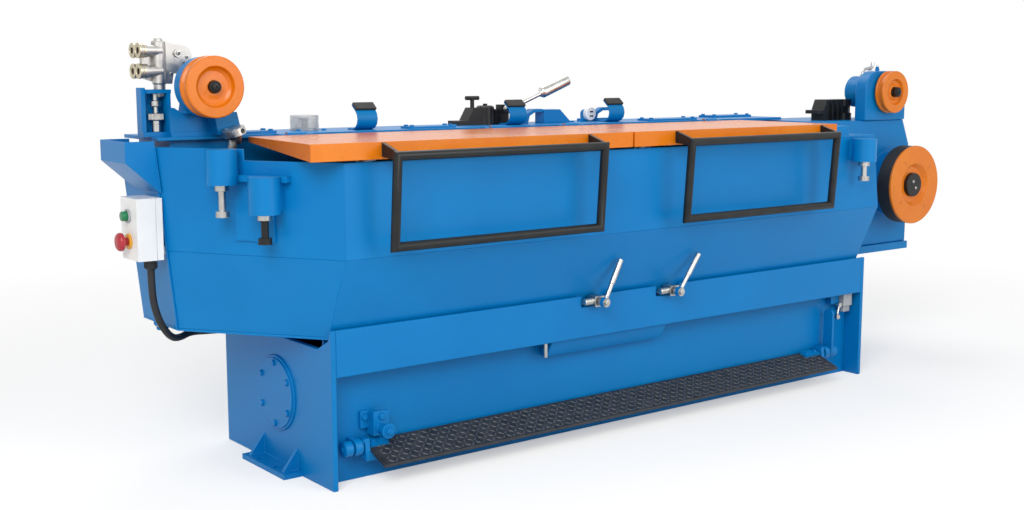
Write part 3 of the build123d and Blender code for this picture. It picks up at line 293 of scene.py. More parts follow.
easeMm = {
    "usual": 1.2, "lid_left": 1.6, "lid_right": 1.6, "lid_rest_pads": 2.2, "tower_body": 3, "tower_head": 3,
    "guide_unit": 2.2, "black_castings": 2, "shift_lever": 1.6, "wire_guide_clamp": 1, "jack_housings": 1.6,
    "base_end_plates": 1.8, "front_apron": 2.2, "start_button": 2.2, "filler_cap": 2.5, "treadle_plate": 1,
}
remade = {"control_cable", "cable_gland", "stop_button", "control_box", "jack_bolts", "inlet_bracket", "sump"}
for name in nodes:
    if name not in remade:
        ease(name, easeMm.get(name, easeMm["usual"]))
print("plates eased:", len(nodes) - len(remade))

# control box: two mouldings that meet at a shadow line near the back
box = {"y": (300, 390), "z": (488, 622), "seamX": -250, "seamMm": 2.2, "deepMm": 3, "proudMm": 3, "roundMm": 3.5}
(y0, y1), (z0, z1) = box["y"], box["z"]
seam = bmesh.new()
loops = []
for x in (box["seamX"], box["seamX"] + box["seamMm"]):
    for out in (box["proudMm"], -box["deepMm"]):
        ring = [(y0 - out, z0 - out), (y1 + out, z0 - out), (y1 + out, z1 + out), (y0 - out, z1 + out)]
        loops.append([seam.verts.new(at(x, y, z)) for y, z in ring])
for one, two in ((0, 1), (1, 3), (3, 2), (2, 0)):
    for k in range(4):
        n = (k + 1) % 4
        seam.faces.new([loops[one][k], loops[one][n], loops[two][n], loops[two][k]])
bmesh.ops.recalc_face_normals(seam, faces=seam.faces)
ease("control_box", box["roundMm"], seam)

# inlet bracket: short at the back behind the spindle, with two plates closing the gap under the shelf
inlet = {"cut": ((-262, -196), (376, 476), (740, 870)), "roundMm": 1.4,
         "plates": (((-251, -190), (370, 376), (760, 843)), ((-199, -191), (336, 370), (760, 843)))}
trim = bmesh.new()
block(trim, *inlet["cut"])
bmesh.ops.recalc_face_normals(trim, faces=trim.faces)
ease("inlet_bracket", inlet["roundMm"], trim)
bm = bmesh.new()
for plate in inlet["plates"]:
    block(bm, *plate)
settle("inlet_shelf_plates", bm, "frame", "machine_blue")

# stop button: a mushroom with a soft rim on its stem
stop = {"spot": (-291.1, 347, 528), "head": 20, "stem": 8}
bm = bmesh.new()
r = stop["head"]
turn(bm, [(0, 30), (r * 0.5, 29.4), (r * 0.8, 27.6), (r * 0.95, 24.6), (r, 21.5), (r, 18), (r - 1.6, 15.6),
          (stop["stem"] + 2, 15.2), (stop["stem"], 14), (stop["stem"], -3.8), (0, -3.8)], stop["spot"], (-1, 0, 0), 36)
settle("stop_mushroom", bm, "stop_button", "red_plastic", "stop_button")
print("control box fitted")

# cable glands: hexagon, ribbed dome nut and tapered sleeve, one under the box and one on the base
gland = {"spots": [((-251.1, 334, 488), (0, 0, -1)), ((0, 432, 290), (-1, 0, 0))], "ribs": 18, "ribRing": 13.3}
bm = bmesh.new()
for spot, aim in gland["spots"]:
    turn(bm, [(0, 0), (14, 0), (14.6, 1), (14.6, 5), (14, 6), (0, 6)], spot, aim, 6)
    turn(bm, [(0, 6), (13.2, 6), (13.2, 20), (11, 22.4), (9.2, 23.6), (0, 23.6)], spot, aim, 28)
    lay = Vector(aim).to_track_quat("Z", "Y").to_matrix()
    for k in range(gland["ribs"]):
        t = 2 * math.pi * k / gland["ribs"]
        spoke = lay @ Vector((math.cos(t), math.sin(t), 0))
        turn(bm, [(0, 7), (1.2, 7), (1.2, 19.4), (0, 20.4)], Vector(spot) + spoke * gland["ribRing"], aim, 6)
settle("cable_glands_ribbed", bm, "frame", "black_plastic", "cable_gland")

# cable from the box down and back under the trough into the base
cable = {
    "route": [(-251.1, 334, 464), (-251.1, 334, 418.1), (-245, 336, 376), (-228, 341, 334), (-201.5, 356, 304),
              (-166, 394, 293), (-126, 426, 297), (-76, 432, 292), (-24, 432, 290)],
    "acrossMm": 16,
    "tubeMm": 376.3,
}
curve = bpy.data.curves.new("control_cable_pvc", "CURVE")
curve.dimensions = "3D"
curve.bevel_depth = cable["acrossMm"] / 2 * mm
curve.bevel_resolution = 6
curve.resolution_u = 12
curve.use_fill_caps = True
spline = curve.splines.new("NURBS")
spline.points.add(len(cable["route"]) - 1)
for point, spot in zip(spline.points, cable["route"]):
    point.co = (*at(*spot), 1)
spline.order_u = 3
spline.use_endpoint_u = True
curve.materials.append(mats["black_rubber"])
cord = bpy.data.objects.new("control_cable_pvc", curve)
bpy.context.scene.collection.objects.link(cord)
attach(cord, "frame")
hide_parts("control_cable")
print("cable laid")

# jack bolts: two plated, the middle one black below its nut
jacks = {"blackX": (-150, -80), "nutFoot": 587.2, "roundMm": 0.9}


def bolts(name, keep, slot, trim=None):
    bm = bmesh.new()
    bm.from_mesh(nodes["jack_bolts"].data)
    bmesh.ops.remove_doubles(bm, verts=bm.verts, dist=1e-6)
    drop = [v for v in bm.verts if not keep(v.co.x / mm + datum.x)]
    bmesh.ops.delete(bm, geom=drop, context="VERTS")
    if trim:
        geom = bm.verts[:] + bm.edges[:] + bm.faces[:]
        cut = bmesh.ops.bisect_plane(bm, geom=geom, plane_co=(0, 0, jacks["nutFoot"] * mm), plane_no=(0, 0, trim),
                                     clear_outer=True)
        rim = [e for e in cut["geom_cut"] if isinstance(e, bmesh.types.BMEdge)]
        bmesh.ops.holes_fill(bm, edges=rim, sides=0)
    bmesh.ops.dissolve_limit(bm, angle_limit=math.radians(1.5), verts=bm.verts, edges=bm.edges)
    edges = [e for e in bm.edges if e.is_manifold and e.calc_face_angle(0) > math.radians(28)]
    bmesh.ops.bevel(bm, geom=edges, offset=jacks["roundMm"] * mm, segments=2, affect="EDGES", clamp_overlap=True)
    settle(name, bm, "frame", slot, "jack_bolts")


def inMiddle(x):
    return jacks["blackX"][0] < x < jacks["blackX"][1]


bolts("jack_bolts_plated", lambda x: not inMiddle(x), "bright_steel")
bolts("jack_bolt_middle_nut", inMiddle, "bright_steel", -1)
bolts("jack_bolt_middle_black", inMiddle, "black_paint", 1)
print("jack bolts split")


# runs a node tree on a start mesh and keeps the result as a plain mesh on its body
def grow(name, base, tree, values, body, slot, look=None):
    obj = bpy.data.objects.new(name + "_seed", base)
    bpy.context.scene.collection.objects.link(obj)
    mod = obj.modifiers.new("grow", "NODES")
    mod.node_group = tree
    for item in tree.interface.items_tree:
        if item.in_out == "INPUT" and item.name in values:
            mod[item.identifier] = values[item.name]
    graph = bpy.context.evaluated_depsgraph_get()
    mesh = bpy.data.meshes.new_from_object(obj.evaluated_get(graph))
    bpy.data.objects.remove(obj)
    mount(name, mesh, body, slot, None, look)


def newTree(name, inputs):
    tree = bpy.data.node_groups.new(name, "GeometryNodeTree")
    tree.interface.new_socket("Geometry", in_out="INPUT", socket_type="NodeSocketGeometry")
    for label, kind in inputs.items():
        tree.interface.new_socket(label, in_out="INPUT", socket_type=kind)
    tree.interface.new_socket("Geometry", in_out="OUTPUT", socket_type="NodeSocketGeometry")
    return tree, addNode(tree, "NodeGroupInput").outputs


# realised, coated and sent out
def closeTree(tree, made, finish):
    real = addNode(tree, "GeometryNodeRealizeInstances", None, {"Geometry": made})
    coat = addNode(tree, "GeometryNodeSetMaterial", None, {"Geometry": real.outputs[0], "Material": finish})
    addNode(tree, "NodeGroupOutput", None, {"Geometry": coat.outputs[0]})


# hexagon heads on washers, each on a point and along its aim
boltTree, given = newTree("hexBolts", {"Across": "NodeSocketFloat", "Head": "NodeSocketFloat",
                                       "Washer": "NodeSocketFloat", "Finish": "NodeSocketMaterial"})
corner = addNode(boltTree, "ShaderNodeMath", {"operation": "MULTIPLY", 1: 0.577}, {0: given["Across"]})
brow = addNode(boltTree, "ShaderNodeMath", {"operation": "MULTIPLY", 1: 0.5}, {0: given["Across"]})
shank = addNode(boltTree, "ShaderNodeMath", {"operation": "MULTIPLY", 1: 0.75}, {0: given["Head"]})
crown = addNode(boltTree, "ShaderNodeMath", {"operation": "MULTIPLY", 1: 0.25}, {0: given["Head"]})
disc = addNode(boltTree, "ShaderNodeMath", {"operation": "MULTIPLY", 1: 0.5}, {0: given["Washer"]})
hexBody = addNode(boltTree, "GeometryNodeMeshCone", {"Vertices": 6},
                  {"Radius Top": corner.outputs[0], "Radius Bottom": corner.outputs[0], "Depth": shank.outputs[0]})
hexTop = addNode(boltTree, "GeometryNodeMeshCone", {"Vertices": 6},
                 {"Radius Top": brow.outputs[0], "Radius Bottom": corner.outputs[0], "Depth": crown.outputs[0]})
lift = addNode(boltTree, "ShaderNodeCombineXYZ", None, {"Z": shank.outputs[0]})
hexTop = addNode(boltTree, "GeometryNodeTransform", None,
                 {"Geometry": hexTop.outputs[0], "Translation": lift.outputs[0]})
washer = addNode(boltTree, "GeometryNodeMeshCone", {"Vertices": 20, "Depth": 1.4 * mm},
                 {"Radius Top": disc.outputs[0], "Radius Bottom": disc.outputs[0]})
head = addNode(boltTree, "GeometryNodeJoinGeometry")
for part in (hexBody, hexTop, washer):
    boltTree.links.new(part.outputs[0], head.inputs[0])
aim = addNode(boltTree, "GeometryNodeInputNamedAttribute", {"data_type": "FLOAT_VECTOR", "Name": "aim"})
stand = addNode(boltTree, "FunctionNodeAlignRotationToVector", {"axis": "Z"}, {"Vector": aim.outputs[0]})
index = addNode(boltTree, "GeometryNodeInputIndex")
twist = addNode(boltTree, "ShaderNodeMath", {"operation": "MULTIPLY", 1: 0.73}, {0: index.outputs[0]})
spin = addNode(boltTree, "FunctionNodeAxisAngleToRotation", {"Axis": (0, 0, 1)}, {"Angle": twist.outputs[0]})
stand = addNode(boltTree, "FunctionNodeRotateRotation", {"rotation_space": "LOCAL"},
                {"Rotation": stand.outputs[0], "Rotate By": spin.outputs[0]})
spots = addNode(boltTree, "GeometryNodeMeshToPoints", None, {"Mesh": given["Geometry"]})
heads = addNode(boltTree, "GeometryNodeInstanceOnPoints", None,
                {"Points": spots.outputs[0], "Instance": head.outputs[0], "Rotation": stand.outputs[0]})
closeTree(boltTree, heads.outputs[0], given["Finish"])


def boltRow(name, rows, size, body, slot):
    mesh = bpy.data.meshes.new(name)
    mesh.from_pydata([at(*p) for p, aim in rows], [], [])
    mark = mesh.attributes.new("aim", "FLOAT_VECTOR", "POINT")
    for k, (p, aim) in enumerate(rows):
        mark.data[k].vector = aim
    values = {"Across": size[0] * mm, "Head": size[1] * mm, "Washer": size[2] * mm, "Finish": mats[slot]}
    grow(name, mesh, boltTree, values, body, slot)


# across flats, head height and washer, as the standard has them
boltSizes = {"m6": (10, 4, 12), "m8": (13, 5.3, 16)}
coverRing = {"spot": (-8, 248, 170), "circle": 70, "count": 6, "from": 30}
coverBolts = []
x, y, z = coverRing["spot"]
for k in range(coverRing["count"]):
    t = math.radians(coverRing["from"] + 360 * k / coverRing["count"])
    coverBolts.append(((x, y + coverRing["circle"] * math.cos(t), z + coverRing["circle"] * math.sin(t)), (-1, 0, 0)))
boltRow("cover_bolts", coverBolts, boltSizes["m8"], "frame", "machine_blue")


# outline of a plate with its corners cut
def cutCorners(u0, u1, v0, v1, c):
    return [(u0 + c, v0), (u1 - c, v0), (u1, v0 + c), (u1, v1 - c),
            (u1 - c, v1), (u0 + c, v1), (u0, v1 - c), (u0, v0 + c)]


deck = {"z": 750, "frontBoltIn": 9, "padBoltIn": 12, "padCorner": 6}
# fittings bolted straight to the deck by their front edge: x from, x to, y
deckSeats = {"casting": (596, 800, 396), "arch": (828, 1018, 404), "cap": (1040, 1184, 420), "cup": (140, 226, 388)}
deckPads = {  # thin base plates bolted to the deck: x from, x to, y from, y to, thick
    "inletFoot": (-50, 60, 330, 392, 6), "mid": (420, 560, 330, 380, 5), "right": (1230, 1420, 330, 392, 5),
    "outlet": (1560, 1730, 400, 470, 6),
}
deckBolts = []
e, z = deck["frontBoltIn"], deck["z"]
for x0, x1, y0 in deckSeats.values():
    deckBolts += [((x, y0 + e, z), (0, 0, 1)) for x in (x0 + e, x1 - e)]
bm = bmesh.new()
e = deck["padBoltIn"]
for x0, x1, y0, y1, t in deckPads.values():
    slab(bm, [(x, y, z) for x, y in cutCorners(x0, x1, y0, y1, deck["padCorner"])], (0, 0, t))
    deckBolts += [((x, y, z + t), (0, 0, 1)) for y in (y0 + e, y1 - e) for x in (x0 + e, x1 - e)]
settle("deck_pads", bm, "frame", "machine_blue")
boltRow("deck_bolts", deckBolts, boltSizes["m6"], "frame", "machine_blue")

treadleBolts = [((88, 22, 92), (-1, 0, 0)), ((88, 28, 60), (-1, 0, 0)),
                ((1632, 22, 92), (1, 0, 0)), ((1632, 28, 60), (1, 0, 0))]
boltRow("treadle_bolts", treadleBolts, boltSizes["m6"], "treadle", "machine_blue")
bracketBolts = [((106, 46, 138), (0, -1, 0)), ((136, 24, 140), (0, -1, 0))]
boltRow("recess_bolts", bracketBolts, boltSizes["m8"], "frame", "machine_blue")
print("bolts set")

# raised lugs of the checker plate, leaning left and right by turns
treadTree, given = newTree("checkerLugs", {
    "Long": "NodeSocketFloat", "Deep": "NodeSocketFloat", "Columns": "NodeSocketInt", "Rows": "NodeSocketInt",
    "Lug": "NodeSocketVector", "Place": "NodeSocketVector", "Tilt": "NodeSocketRotation",
    "Finish": "NodeSocketMaterial"})
field = addNode(treadTree, "GeometryNodeMeshGrid", None, {"Size X": given["Long"], "Size Y": given["Deep"],
                                                         "Vertices X": given["Columns"], "Vertices Y": given["Rows"]})
lens = addNode(treadTree, "GeometryNodeMeshUVSphere", {"Radius": 1.0, "Segments": 8, "Rings": 4})
lens = addNode(treadTree, "GeometryNodeTransform", None, {"Geometry": lens.outputs[0], "Scale": given["Lug"]})
index = addNode(treadTree, "GeometryNodeInputIndex")
column = addNode(treadTree, "ShaderNodeMath", {"operation": "DIVIDE"}, {0: index.outputs[0], 1: given["Rows"]})
column = addNode(treadTree, "ShaderNodeMath", {"operation": "FLOOR"}, {0: column.outputs[0]})
both = addNode(treadTree, "ShaderNodeMath", {"operation": "MULTIPLY_ADD"},
               {0: column.outputs[0], 1: given["Rows"], 2: index.outputs[0]})
both = addNode(treadTree, "ShaderNodeMath", {"operation": "ADD"}, {0: both.outputs[0], 1: column.outputs[0]})
parity = addNode(treadTree, "ShaderNodeMath", {"operation": "MODULO", 1: 2.0}, {0: both.outputs[0]})
angle = addNode(treadTree, "ShaderNodeMath", {"operation": "MULTIPLY_ADD", 1: math.pi / 2, 2: -math.pi / 4},
                {0: parity.outputs[0]})
yaw = addNode(treadTree, "FunctionNodeAxisAngleToRotation", {"Axis": (0, 0, 1)}, {"Angle": angle.outputs[0]})
lugs = addNode(treadTree, "GeometryNodeInstanceOnPoints", None,
               {"Points": field.outputs[0], "Instance": lens.outputs[0], "Rotation": yaw.outputs[0]})
lugs = addNode(treadTree, "GeometryNodeTransform", None,
               {"Geometry": lugs.outputs[0], "Translation": given["Place"], "Rotation": given["Tilt"]})
closeTree(treadTree, lugs.outputs[0], given["Finish"])
tread = {"x": (100, 1620), "rear": (44, 86), "front": (-46, 52), "pitchMm": 14.6, "lugMm": (8.6, 2.6, 1.5),
         "rows": 6, "marginMm": 20}
(rearY, rearZ), (frontY, frontZ) = tread["rear"], tread["front"]
rise = math.atan2(rearZ - frontZ, rearY - frontY)
columns = int((tread["x"][1] - tread["x"][0] - tread["marginMm"]) / tread["pitchMm"])
middle = at(sum(tread["x"]) / 2, (rearY + frontY) / 2, (rearZ + frontZ) / 2)
grow("checker_lugs", bpy.data.meshes.new("treadSeed"), treadTree, {
    "Long": (columns - 1) * tread["pitchMm"] * mm, "Deep": (tread["rows"] - 1) * tread["pitchMm"] * mm,
    "Columns": columns, "Rows": tread["rows"], "Lug": [v * mm for v in tread["lugMm"]], "Place": middle,
    "Tilt": (rise, 0, 0), "Finish": lugFinish}, "treadle", "tread_plate", lugFinish)
print("checker plate rolled,", columns * tread["rows"], "lugs")

# weld beads: overlapping blobs along the seams
beadTree, given = newTree("weldBeads", {"Pitch": "NodeSocketFloat", "Bead": "NodeSocketFloat",
                                        "Finish": "NodeSocketMaterial"})
seamLine = addNode(beadTree, "GeometryNodeMeshToCurve", None, {"Mesh": given["Geometry"]})
steps = addNode(beadTree, "GeometryNodeResampleCurve", {"mode": "LENGTH"},
                {"Curve": seamLine.outputs[0], "Length": given["Pitch"]})
blob = addNode(beadTree, "GeometryNodeMeshUVSphere", {"Segments": 8, "Rings": 5}, {"Radius": given["Bead"]})
puff = addNode(beadTree, "FunctionNodeRandomValue", {"data_type": "FLOAT_VECTOR", "Min": (0.75, 0.75, 0.75),
                                                    "Max": (1.2, 1.2, 1.2), "Seed": 4})
beads = addNode(beadTree, "GeometryNodeInstanceOnPoints", None,
                {"Points": steps.outputs[0], "Instance": blob.outputs[0], "Scale": puff.outputs[0]})
closeTree(beadTree, beads.outputs[0], given["Finish"])


def weld(name, seams, beadMm, body, slot):
    verts, edges = [], []
    for line in seams:
        first = len(verts)
        verts += [at(*p) for p in line]
        edges += [(first + k, first + k + 1) for k in range(len(line) - 1)]
    mesh = bpy.data.meshes.new(name)
    mesh.from_pydata(verts, edges, [])
    grow(name, mesh, beadTree, {"Pitch": beadMm * 1.3 * mm, "Bead": beadMm * mm, "Finish": mats[slot]}, body, slot)


seams = {
    "cornerEdge": [(-246.4, 309, 729), (-223.7, 309, 506)],
    "cornerFoot": [(-223.7, 309, 504), (-206.4, 309, 334)],
    "doublerLeft": [(-132.6, 158.8, 676), (-132.6, 158.8, 538)],
    "doublerFoot": [(-132.6, 158.8, 538), (-104, 113, 538)],
    "gussetsLeft": [(-0.5, 157, 14), (-0.5, 157, 58)],
    "gussetsRight": [(-0.5, 318, 14), (-0.5, 318, 58)],
    "gussetFloor": [(-2, 157, 12), (-34, 157, 12)],
    "gussetFloorTwo": [(-2, 318, 12), (-34, 318, 12)],
    "footRoot": [(-0.5, 168, 12.5), (-0.5, 317, 12.5)],
    "chuteRoot": [(-245.5, 302, 730), (-235.2, 302, 634)],
}
bead = {"seamMm": 2.2, "lugMm": 1.6}
weld("weld_beads", seams.values(), bead["seamMm"], "frame", "machine_blue")
frameLugs = {"lid_left": (93, 653.5), "lid_right": (935.5, 1483), "y": -70.4, "z": (744, 718), "half": 4}
for body in ("lid_left", "lid_right"):
    sides = [x + side for x in frameLugs[body] for side in (-frameLugs["half"], frameLugs["half"])]
    lines = [[(x, frameLugs["y"], z) for z in frameLugs["z"]] for x in sides]
    weld(body + "_lug_welds", lines, bead["lugMm"], body, "black_paint")
print("seams welded")

# doubler under the middle jack, a plate lapped on the corner wall
doubler = {"plan": [(-128.6, 161), (-98, 112.2), (-103, 109), (-133.6, 157.8)], "foot": 538, "high": 139}
bm = bmesh.new()
slab(bm, [(x, y, doubler["foot"]) for x, y in doubler["plan"]], (0, 0, doubler["high"]))
settle("corner_doubler", bm, "frame", "machine_blue")

# drain plug under the trough's left end
plug = {"spot": (-186, 440, 327), "flange": 20, "washer": 17, "hex": 15}
bm = bmesh.new()
turn(bm, [(0, 0), (plug["flange"], 0), (plug["flange"], 7), (0, 7)], plug["spot"], (0, 0, -1), 28)
turn(bm, [(0, 11), (plug["hex"], 11), (plug["hex"], 17), (12, 20), (0, 20)], plug["spot"], (0, 0, -1), 6)
settle("drain_plug", bm, "frame", "machine_blue")
bm = bmesh.new()
turn(bm, [(0, 7), (plug["washer"], 7), (plug["washer"], 11), (0, 11)], plug["spot"], (0, 0, -1), 28)
settle("drain_plug_washer", bm, "frame", "grey_plastic")

# sump behind the apron: its front leans back from the apron's lower edge, with a drain tail at the left end
sump = {"x": (607, 989), "side": [(8.5, 262), (8.5, 246), (30, 207), (54, 207), (54, 262)], "roundMm": 1.4,
        "tail": [(609, 20, 254), (601, 20, 254), (597.5, 20, 251), (596.5, 20, 246), (596.5, 20, 210)], "tailR": 5.2}
bm = bmesh.new()
x0, x1 = sump["x"]
slab(bm, [(x0, y, z) for y, z in sump["side"]], (x1 - x0, 0, 0))
bmesh.ops.recalc_face_normals(bm, faces=bm.faces)
bmesh.ops.bevel(bm, geom=bm.edges[:], offset=sump["roundMm"] * mm, segments=2, affect="EDGES")
settle("sump_pan", bm, "frame", "machine_blue", "sump")
bm = bmesh.new()
pipe(bm, sump["tail"], sump["tailR"], 18)
settle("sump_drain_tail", bm, "frame", "bright_steel")

# inspection cover: the ring it closes against, welded to the end plate
bm = bmesh.new()
y, z = coverRing["spot"][1:]
turn(bm, [(78, 0), (87, 0), (87, 3.2), (85.5, 4.6), (78, 4.6), (78, 0)], (0, y, z), (-1, 0, 0), 64)
settle("cover_ring", bm, "frame", "machine_blue")

# hinge knuckle sleeves, painted with the deck
sleeves = {"lid_left": (-34, 789.5), "lid_right": (795.5, 1548), "shares": (0.15, 0.85), "long": 50, "y": 300,
           "z": 745, "wall": [(8.1, 0), (8.8, 0.6), (8.8, 49.4), (8.1, 50), (8.1, 0)]}
for body in ("lid_left", "lid_right"):
    x0, x1 = sleeves[body]
    bm = bmesh.new()
    for share in sleeves["shares"]:
        spot = (x0 + (x1 - x0) * share - sleeves["long"] / 2, sleeves["y"], sleeves["z"])
        turn(bm, sleeves["wall"], spot, (1, 0, 0), 24)
    settle(body + "_knuckle_sleeves", bm, body, "machine_blue")


# socket screws: button head, with a thin dark hexagon that is painted shade standing in for the socket's depth
def socketScrew(steel, dark, spot, aim, r):
    turn(steel, [(0, 0), (r, 0), (r, r * 0.45), (r * 0.86, r * 0.66), (r * 0.5, r * 0.74), (r * 0.5, r * 0.3),
                 (0, r * 0.3)], spot, aim, 20)
    turn(dark, [(0, r * 0.31), (r * 0.49, r * 0.31), (r * 0.49, r * 0.36), (0, r * 0.36)], spot, aim, 6)


# capstan: two boss screws, and pairs of tapped jacking holes in the face; the holes are shallow discs in a darker
# orange, painted shade in place of their depth
capstan = {"spot": (2085, 50, 543), "screws": ((2079, 52, 553), (2092, 52, 533)), "screwR": 4.6, "holeRing": 84,
           "holeApart": 4, "holesFrom": 37, "pairs": 4}
front = (0, -1, 0)
steel, dark = bmesh.new(), bmesh.new()
for spot in capstan["screws"]:
    socketScrew(steel, dark, spot, front, capstan["screwR"])
settle("capstan_screws", steel, "capstan", "bright_steel")
# the screw sockets are thin near-black hexagons: painted shade in place of their depth
settle("capstan_screw_sockets", dark, "capstan", "black_paint", None, paintedShadeFinish)
bm = bmesh.new()
x, y, z = capstan["spot"]
for k in range(capstan["pairs"]):
    t = math.radians(capstan["holesFrom"] + 360 * k / capstan["pairs"])
    for off in (-capstan["holeApart"], capstan["holeApart"]):
        r = capstan["holeRing"] + off
        spot = (x + r * math.cos(t), y, z + r * math.sin(t))
        turn(bm, [(0, -0.4), (2.1, -0.4), (2.1, 0.25), (1.5, 0.3), (0, 0.1)], spot, front, 14)
# darker orange on the hole discs is painted shade
settle("capstan_tapped_holes", bm, "capstan", "safety_orange", None, makeFinish(
    {"name": "enamelOrangeHoleShadePainted", "colour": "#8A4308", "other": "#A3530F", "patchMm": 8, "rough": (0.4, 0.6),
     "grainMm": 2, "bump": 0.1}))

# pulley axle ends: black washer and centre-drilled screw
axleEnds = {"inlet": ((-133, 235, 857), 13), "outlet": ((2045, 96, 826), 15)}
bm = bmesh.new()
for spot, r in axleEnds.values():
    turn(bm, [(0, 0), (r, 0), (r, 1.4), (r * 0.8, 2.2), (r * 0.72, 1.2), (r * 0.6, 1.2), (r * 0.6, 3.2), (r * 0.5, 4),
              (r * 0.22, 4), (r * 0.22, 1), (0, 1)], spot, front, 28)
settle("axle_end_screws", bm, "frame", "black_paint")

# sight cup: threaded collar below and the float seen through the wall
cup = {"spot": (183, 430, 750)}
bm = bmesh.new()
turn(bm, [(0, 0), (36, 0), (36, 4), (35, 5), (30.5, 5), (30.5, 0.5), (0, 0.5)], cup["spot"], (0, 0, 1), 8)
settle("sight_cup_nut", bm, "frame", "grey_plastic")
bm = bmesh.new()
turn(bm, [(0, 1), (24, 1), (24, 3), (12, 4), (8, 8), (8, 24), (14, 26), (14, 29), (0, 29.5)],
     cup["spot"], (0, 0, 1), 28)
settle("sight_cup_float", bm, "frame", "grey_plastic")

# filler cap: two vent slots in its face, drawn as thin near-black sheets: painted shade for the slots' depth
slots = {"x": (1076, 1088), "y": (415.6, 416.4), "z": ((763, 767), (775, 779))}
bm = bmesh.new()
for z in slots["z"]:
    block(bm, slots["x"], slots["y"], z)
settle("filler_cap_slots", bm, "frame", "grey_plastic", None, paintedShadeFinish)

# stiffening fins on the front of the exit casting
fins = {"x": (1886, 1908, 1930), "wide": 7, "side": [(226.5, 741), (217.5, 741), (217.5, 780), (226.5, 801)]}
bm = bmesh.new()
for x in fins["x"]:
    slab(bm, [(x, y, z) for y, z in fins["side"]], (fins["wide"], 0, 0))
settle("exit_casting_fins", bm, "frame", "black_paint")

# lubrication elbow and grease nipple on the outlet bearing
elbow = {"foot": (2023, 215, 870), "r": 4.6, "nippleR": 5.4,  # runs: along and up from the foot
         "run": [(0, 4), (0, 10), (3, 18), (10, 24), (20, 27), (36, 27)],
         "nippleRun": [(40, 28), (46, 31), (49, 38), (51, 46)]}
x, y, z = elbow["foot"]
bm = bmesh.new()
turn(bm, [(0, -8), (8, -8), (8, 8), (7, 9), (0, 9)], (x, y, z), (0, 0, 1), 6)
pipe(bm, [(x + along, y, z + up) for along, up in elbow["run"]], elbow["r"], 14)
turn(bm, [(0, 0), (7, 0), (7, 10), (0, 10)], (x + 32, y, z + 27), (1, 0, 0.1), 6)
pipe(bm, [(x + along, y, z + up) for along, up in elbow["nippleRun"]], elbow["nippleR"], 14)
settle("bearing_oil_elbow", bm, "frame", "drawing_steel")

# plug on the tower head with its pale cap
headPlug = {"spot": (2030, 165, 889), "high": 14}
x, y, z = headPlug["spot"]
bm = bmesh.new()
turn(bm, [(0, -1), (6.5, -1), (6.5, 8), (5, 9), (5, headPlug["high"]), (0, headPlug["high"])], (x, y, z), (0, 0, 1), 12)
settle("head_plug", bm, "frame", "machine_blue")
bm = bmesh.new()
turn(bm, [(0, 0), (4, 0), (4, 5), (2.6, 6.5), (0, 7)], (x, y, z + headPlug["high"]), (0, 0, 1), 14)
settle("head_plug_cap", bm, "frame", "white_plastic")
print("turned fittings done")

# valve dress: painted hub bands, threaded pipe stubs and lever end caps
valves = {"left": {"x": 733, "tilt": 27}, "right": {"x": 986, "tilt": 36}}
valveSet = {"z": 337, "hubY": -46, "leverY": -38, "pipeY": -8, "threads": 7, "pitch": 3}
for key, v in valves.items():
    hub = (v["x"], valveSet["hubY"], valveSet["z"])
    root = Vector((v["x"], valveSet["leverY"], valveSet["z"]))
    lean = Vector((math.sin(math.radians(v["tilt"])), 0, math.cos(math.radians(v["tilt"]))))
    bm = bmesh.new()
    turn(bm, [(11.05, 2), (12, 2.4), (12, 11.6), (11.05, 12), (11.05, 2)], hub, (0, 1, 0), 24)
    settle("valve_band_" + key, bm, "valve_lever_" + key, "machine_blue")
    bm = bmesh.new()
    turn(bm, [(0, 0), (6.2, 0), (7.4, -1.2), (7.4, -4), (4, -4.8), (0, -4.8)], hub, (0, 1, 0), 24)
    turn(bm, [(4.05, 6), (5.6, 7), (5.6, 48), (7, 49.4), (7, 50), (4.05, 50), (4.05, 6)], root, lean, 24)
    settle("valve_trim_" + key, bm, "valve_lever_" + key, "bright_steel")
    # the open end of the lever sleeve: a thin near-black disc, painted shade for the hollow
    bm = bmesh.new()
    turn(bm, [(0, 112.02), (4.9, 112.02), (4.9, 112.2), (0, 112.2)], root, lean, 20)
    settle("valve_sleeve_bore_" + key, bm, "valve_lever_" + key, "bright_steel", None, paintedShadeFinish)
threads = [(8.05, 18)]
for k in range(valveSet["threads"]):
    threads += [(8.9, 19 + valveSet["pitch"] * k), (8.1, 20.5 + valveSet["pitch"] * k)]
threads += [(8.05, 40), (8.05, 18)]
bm = bmesh.new()
for v in valves.values():
    turn(bm, threads, (v["x"], valveSet["pipeY"], valveSet["z"]), (-1, 0, 0), 24)
settle("valve_pipe_threads", bm, "frame", "bright_steel")

# shift lever: fat turned grip with a shoulder, over the plain one
grip = {"root": (770, 392, 790), "tilt": 20.5, "from": 112, "to": 216, "r": 15}
lean = Vector((math.cos(math.radians(grip["tilt"])), 0, math.sin(math.radians(grip["tilt"]))))
r, foot, tip = grip["r"], grip["from"], grip["to"]
bm = bmesh.new()
turn(bm, [(5.05, 14), (6.4, 15), (6.4, foot - 4), (8, foot), (r - 1, foot + 9), (r, foot + 11), (r, tip - 2),
          (r - 2, tip), (0, tip), (0, foot - 2), (5.05, foot - 6), (5.05, 14)], grip["root"], lean, 32)
settle("shift_grip", bm, "shift_lever", "bright_steel")

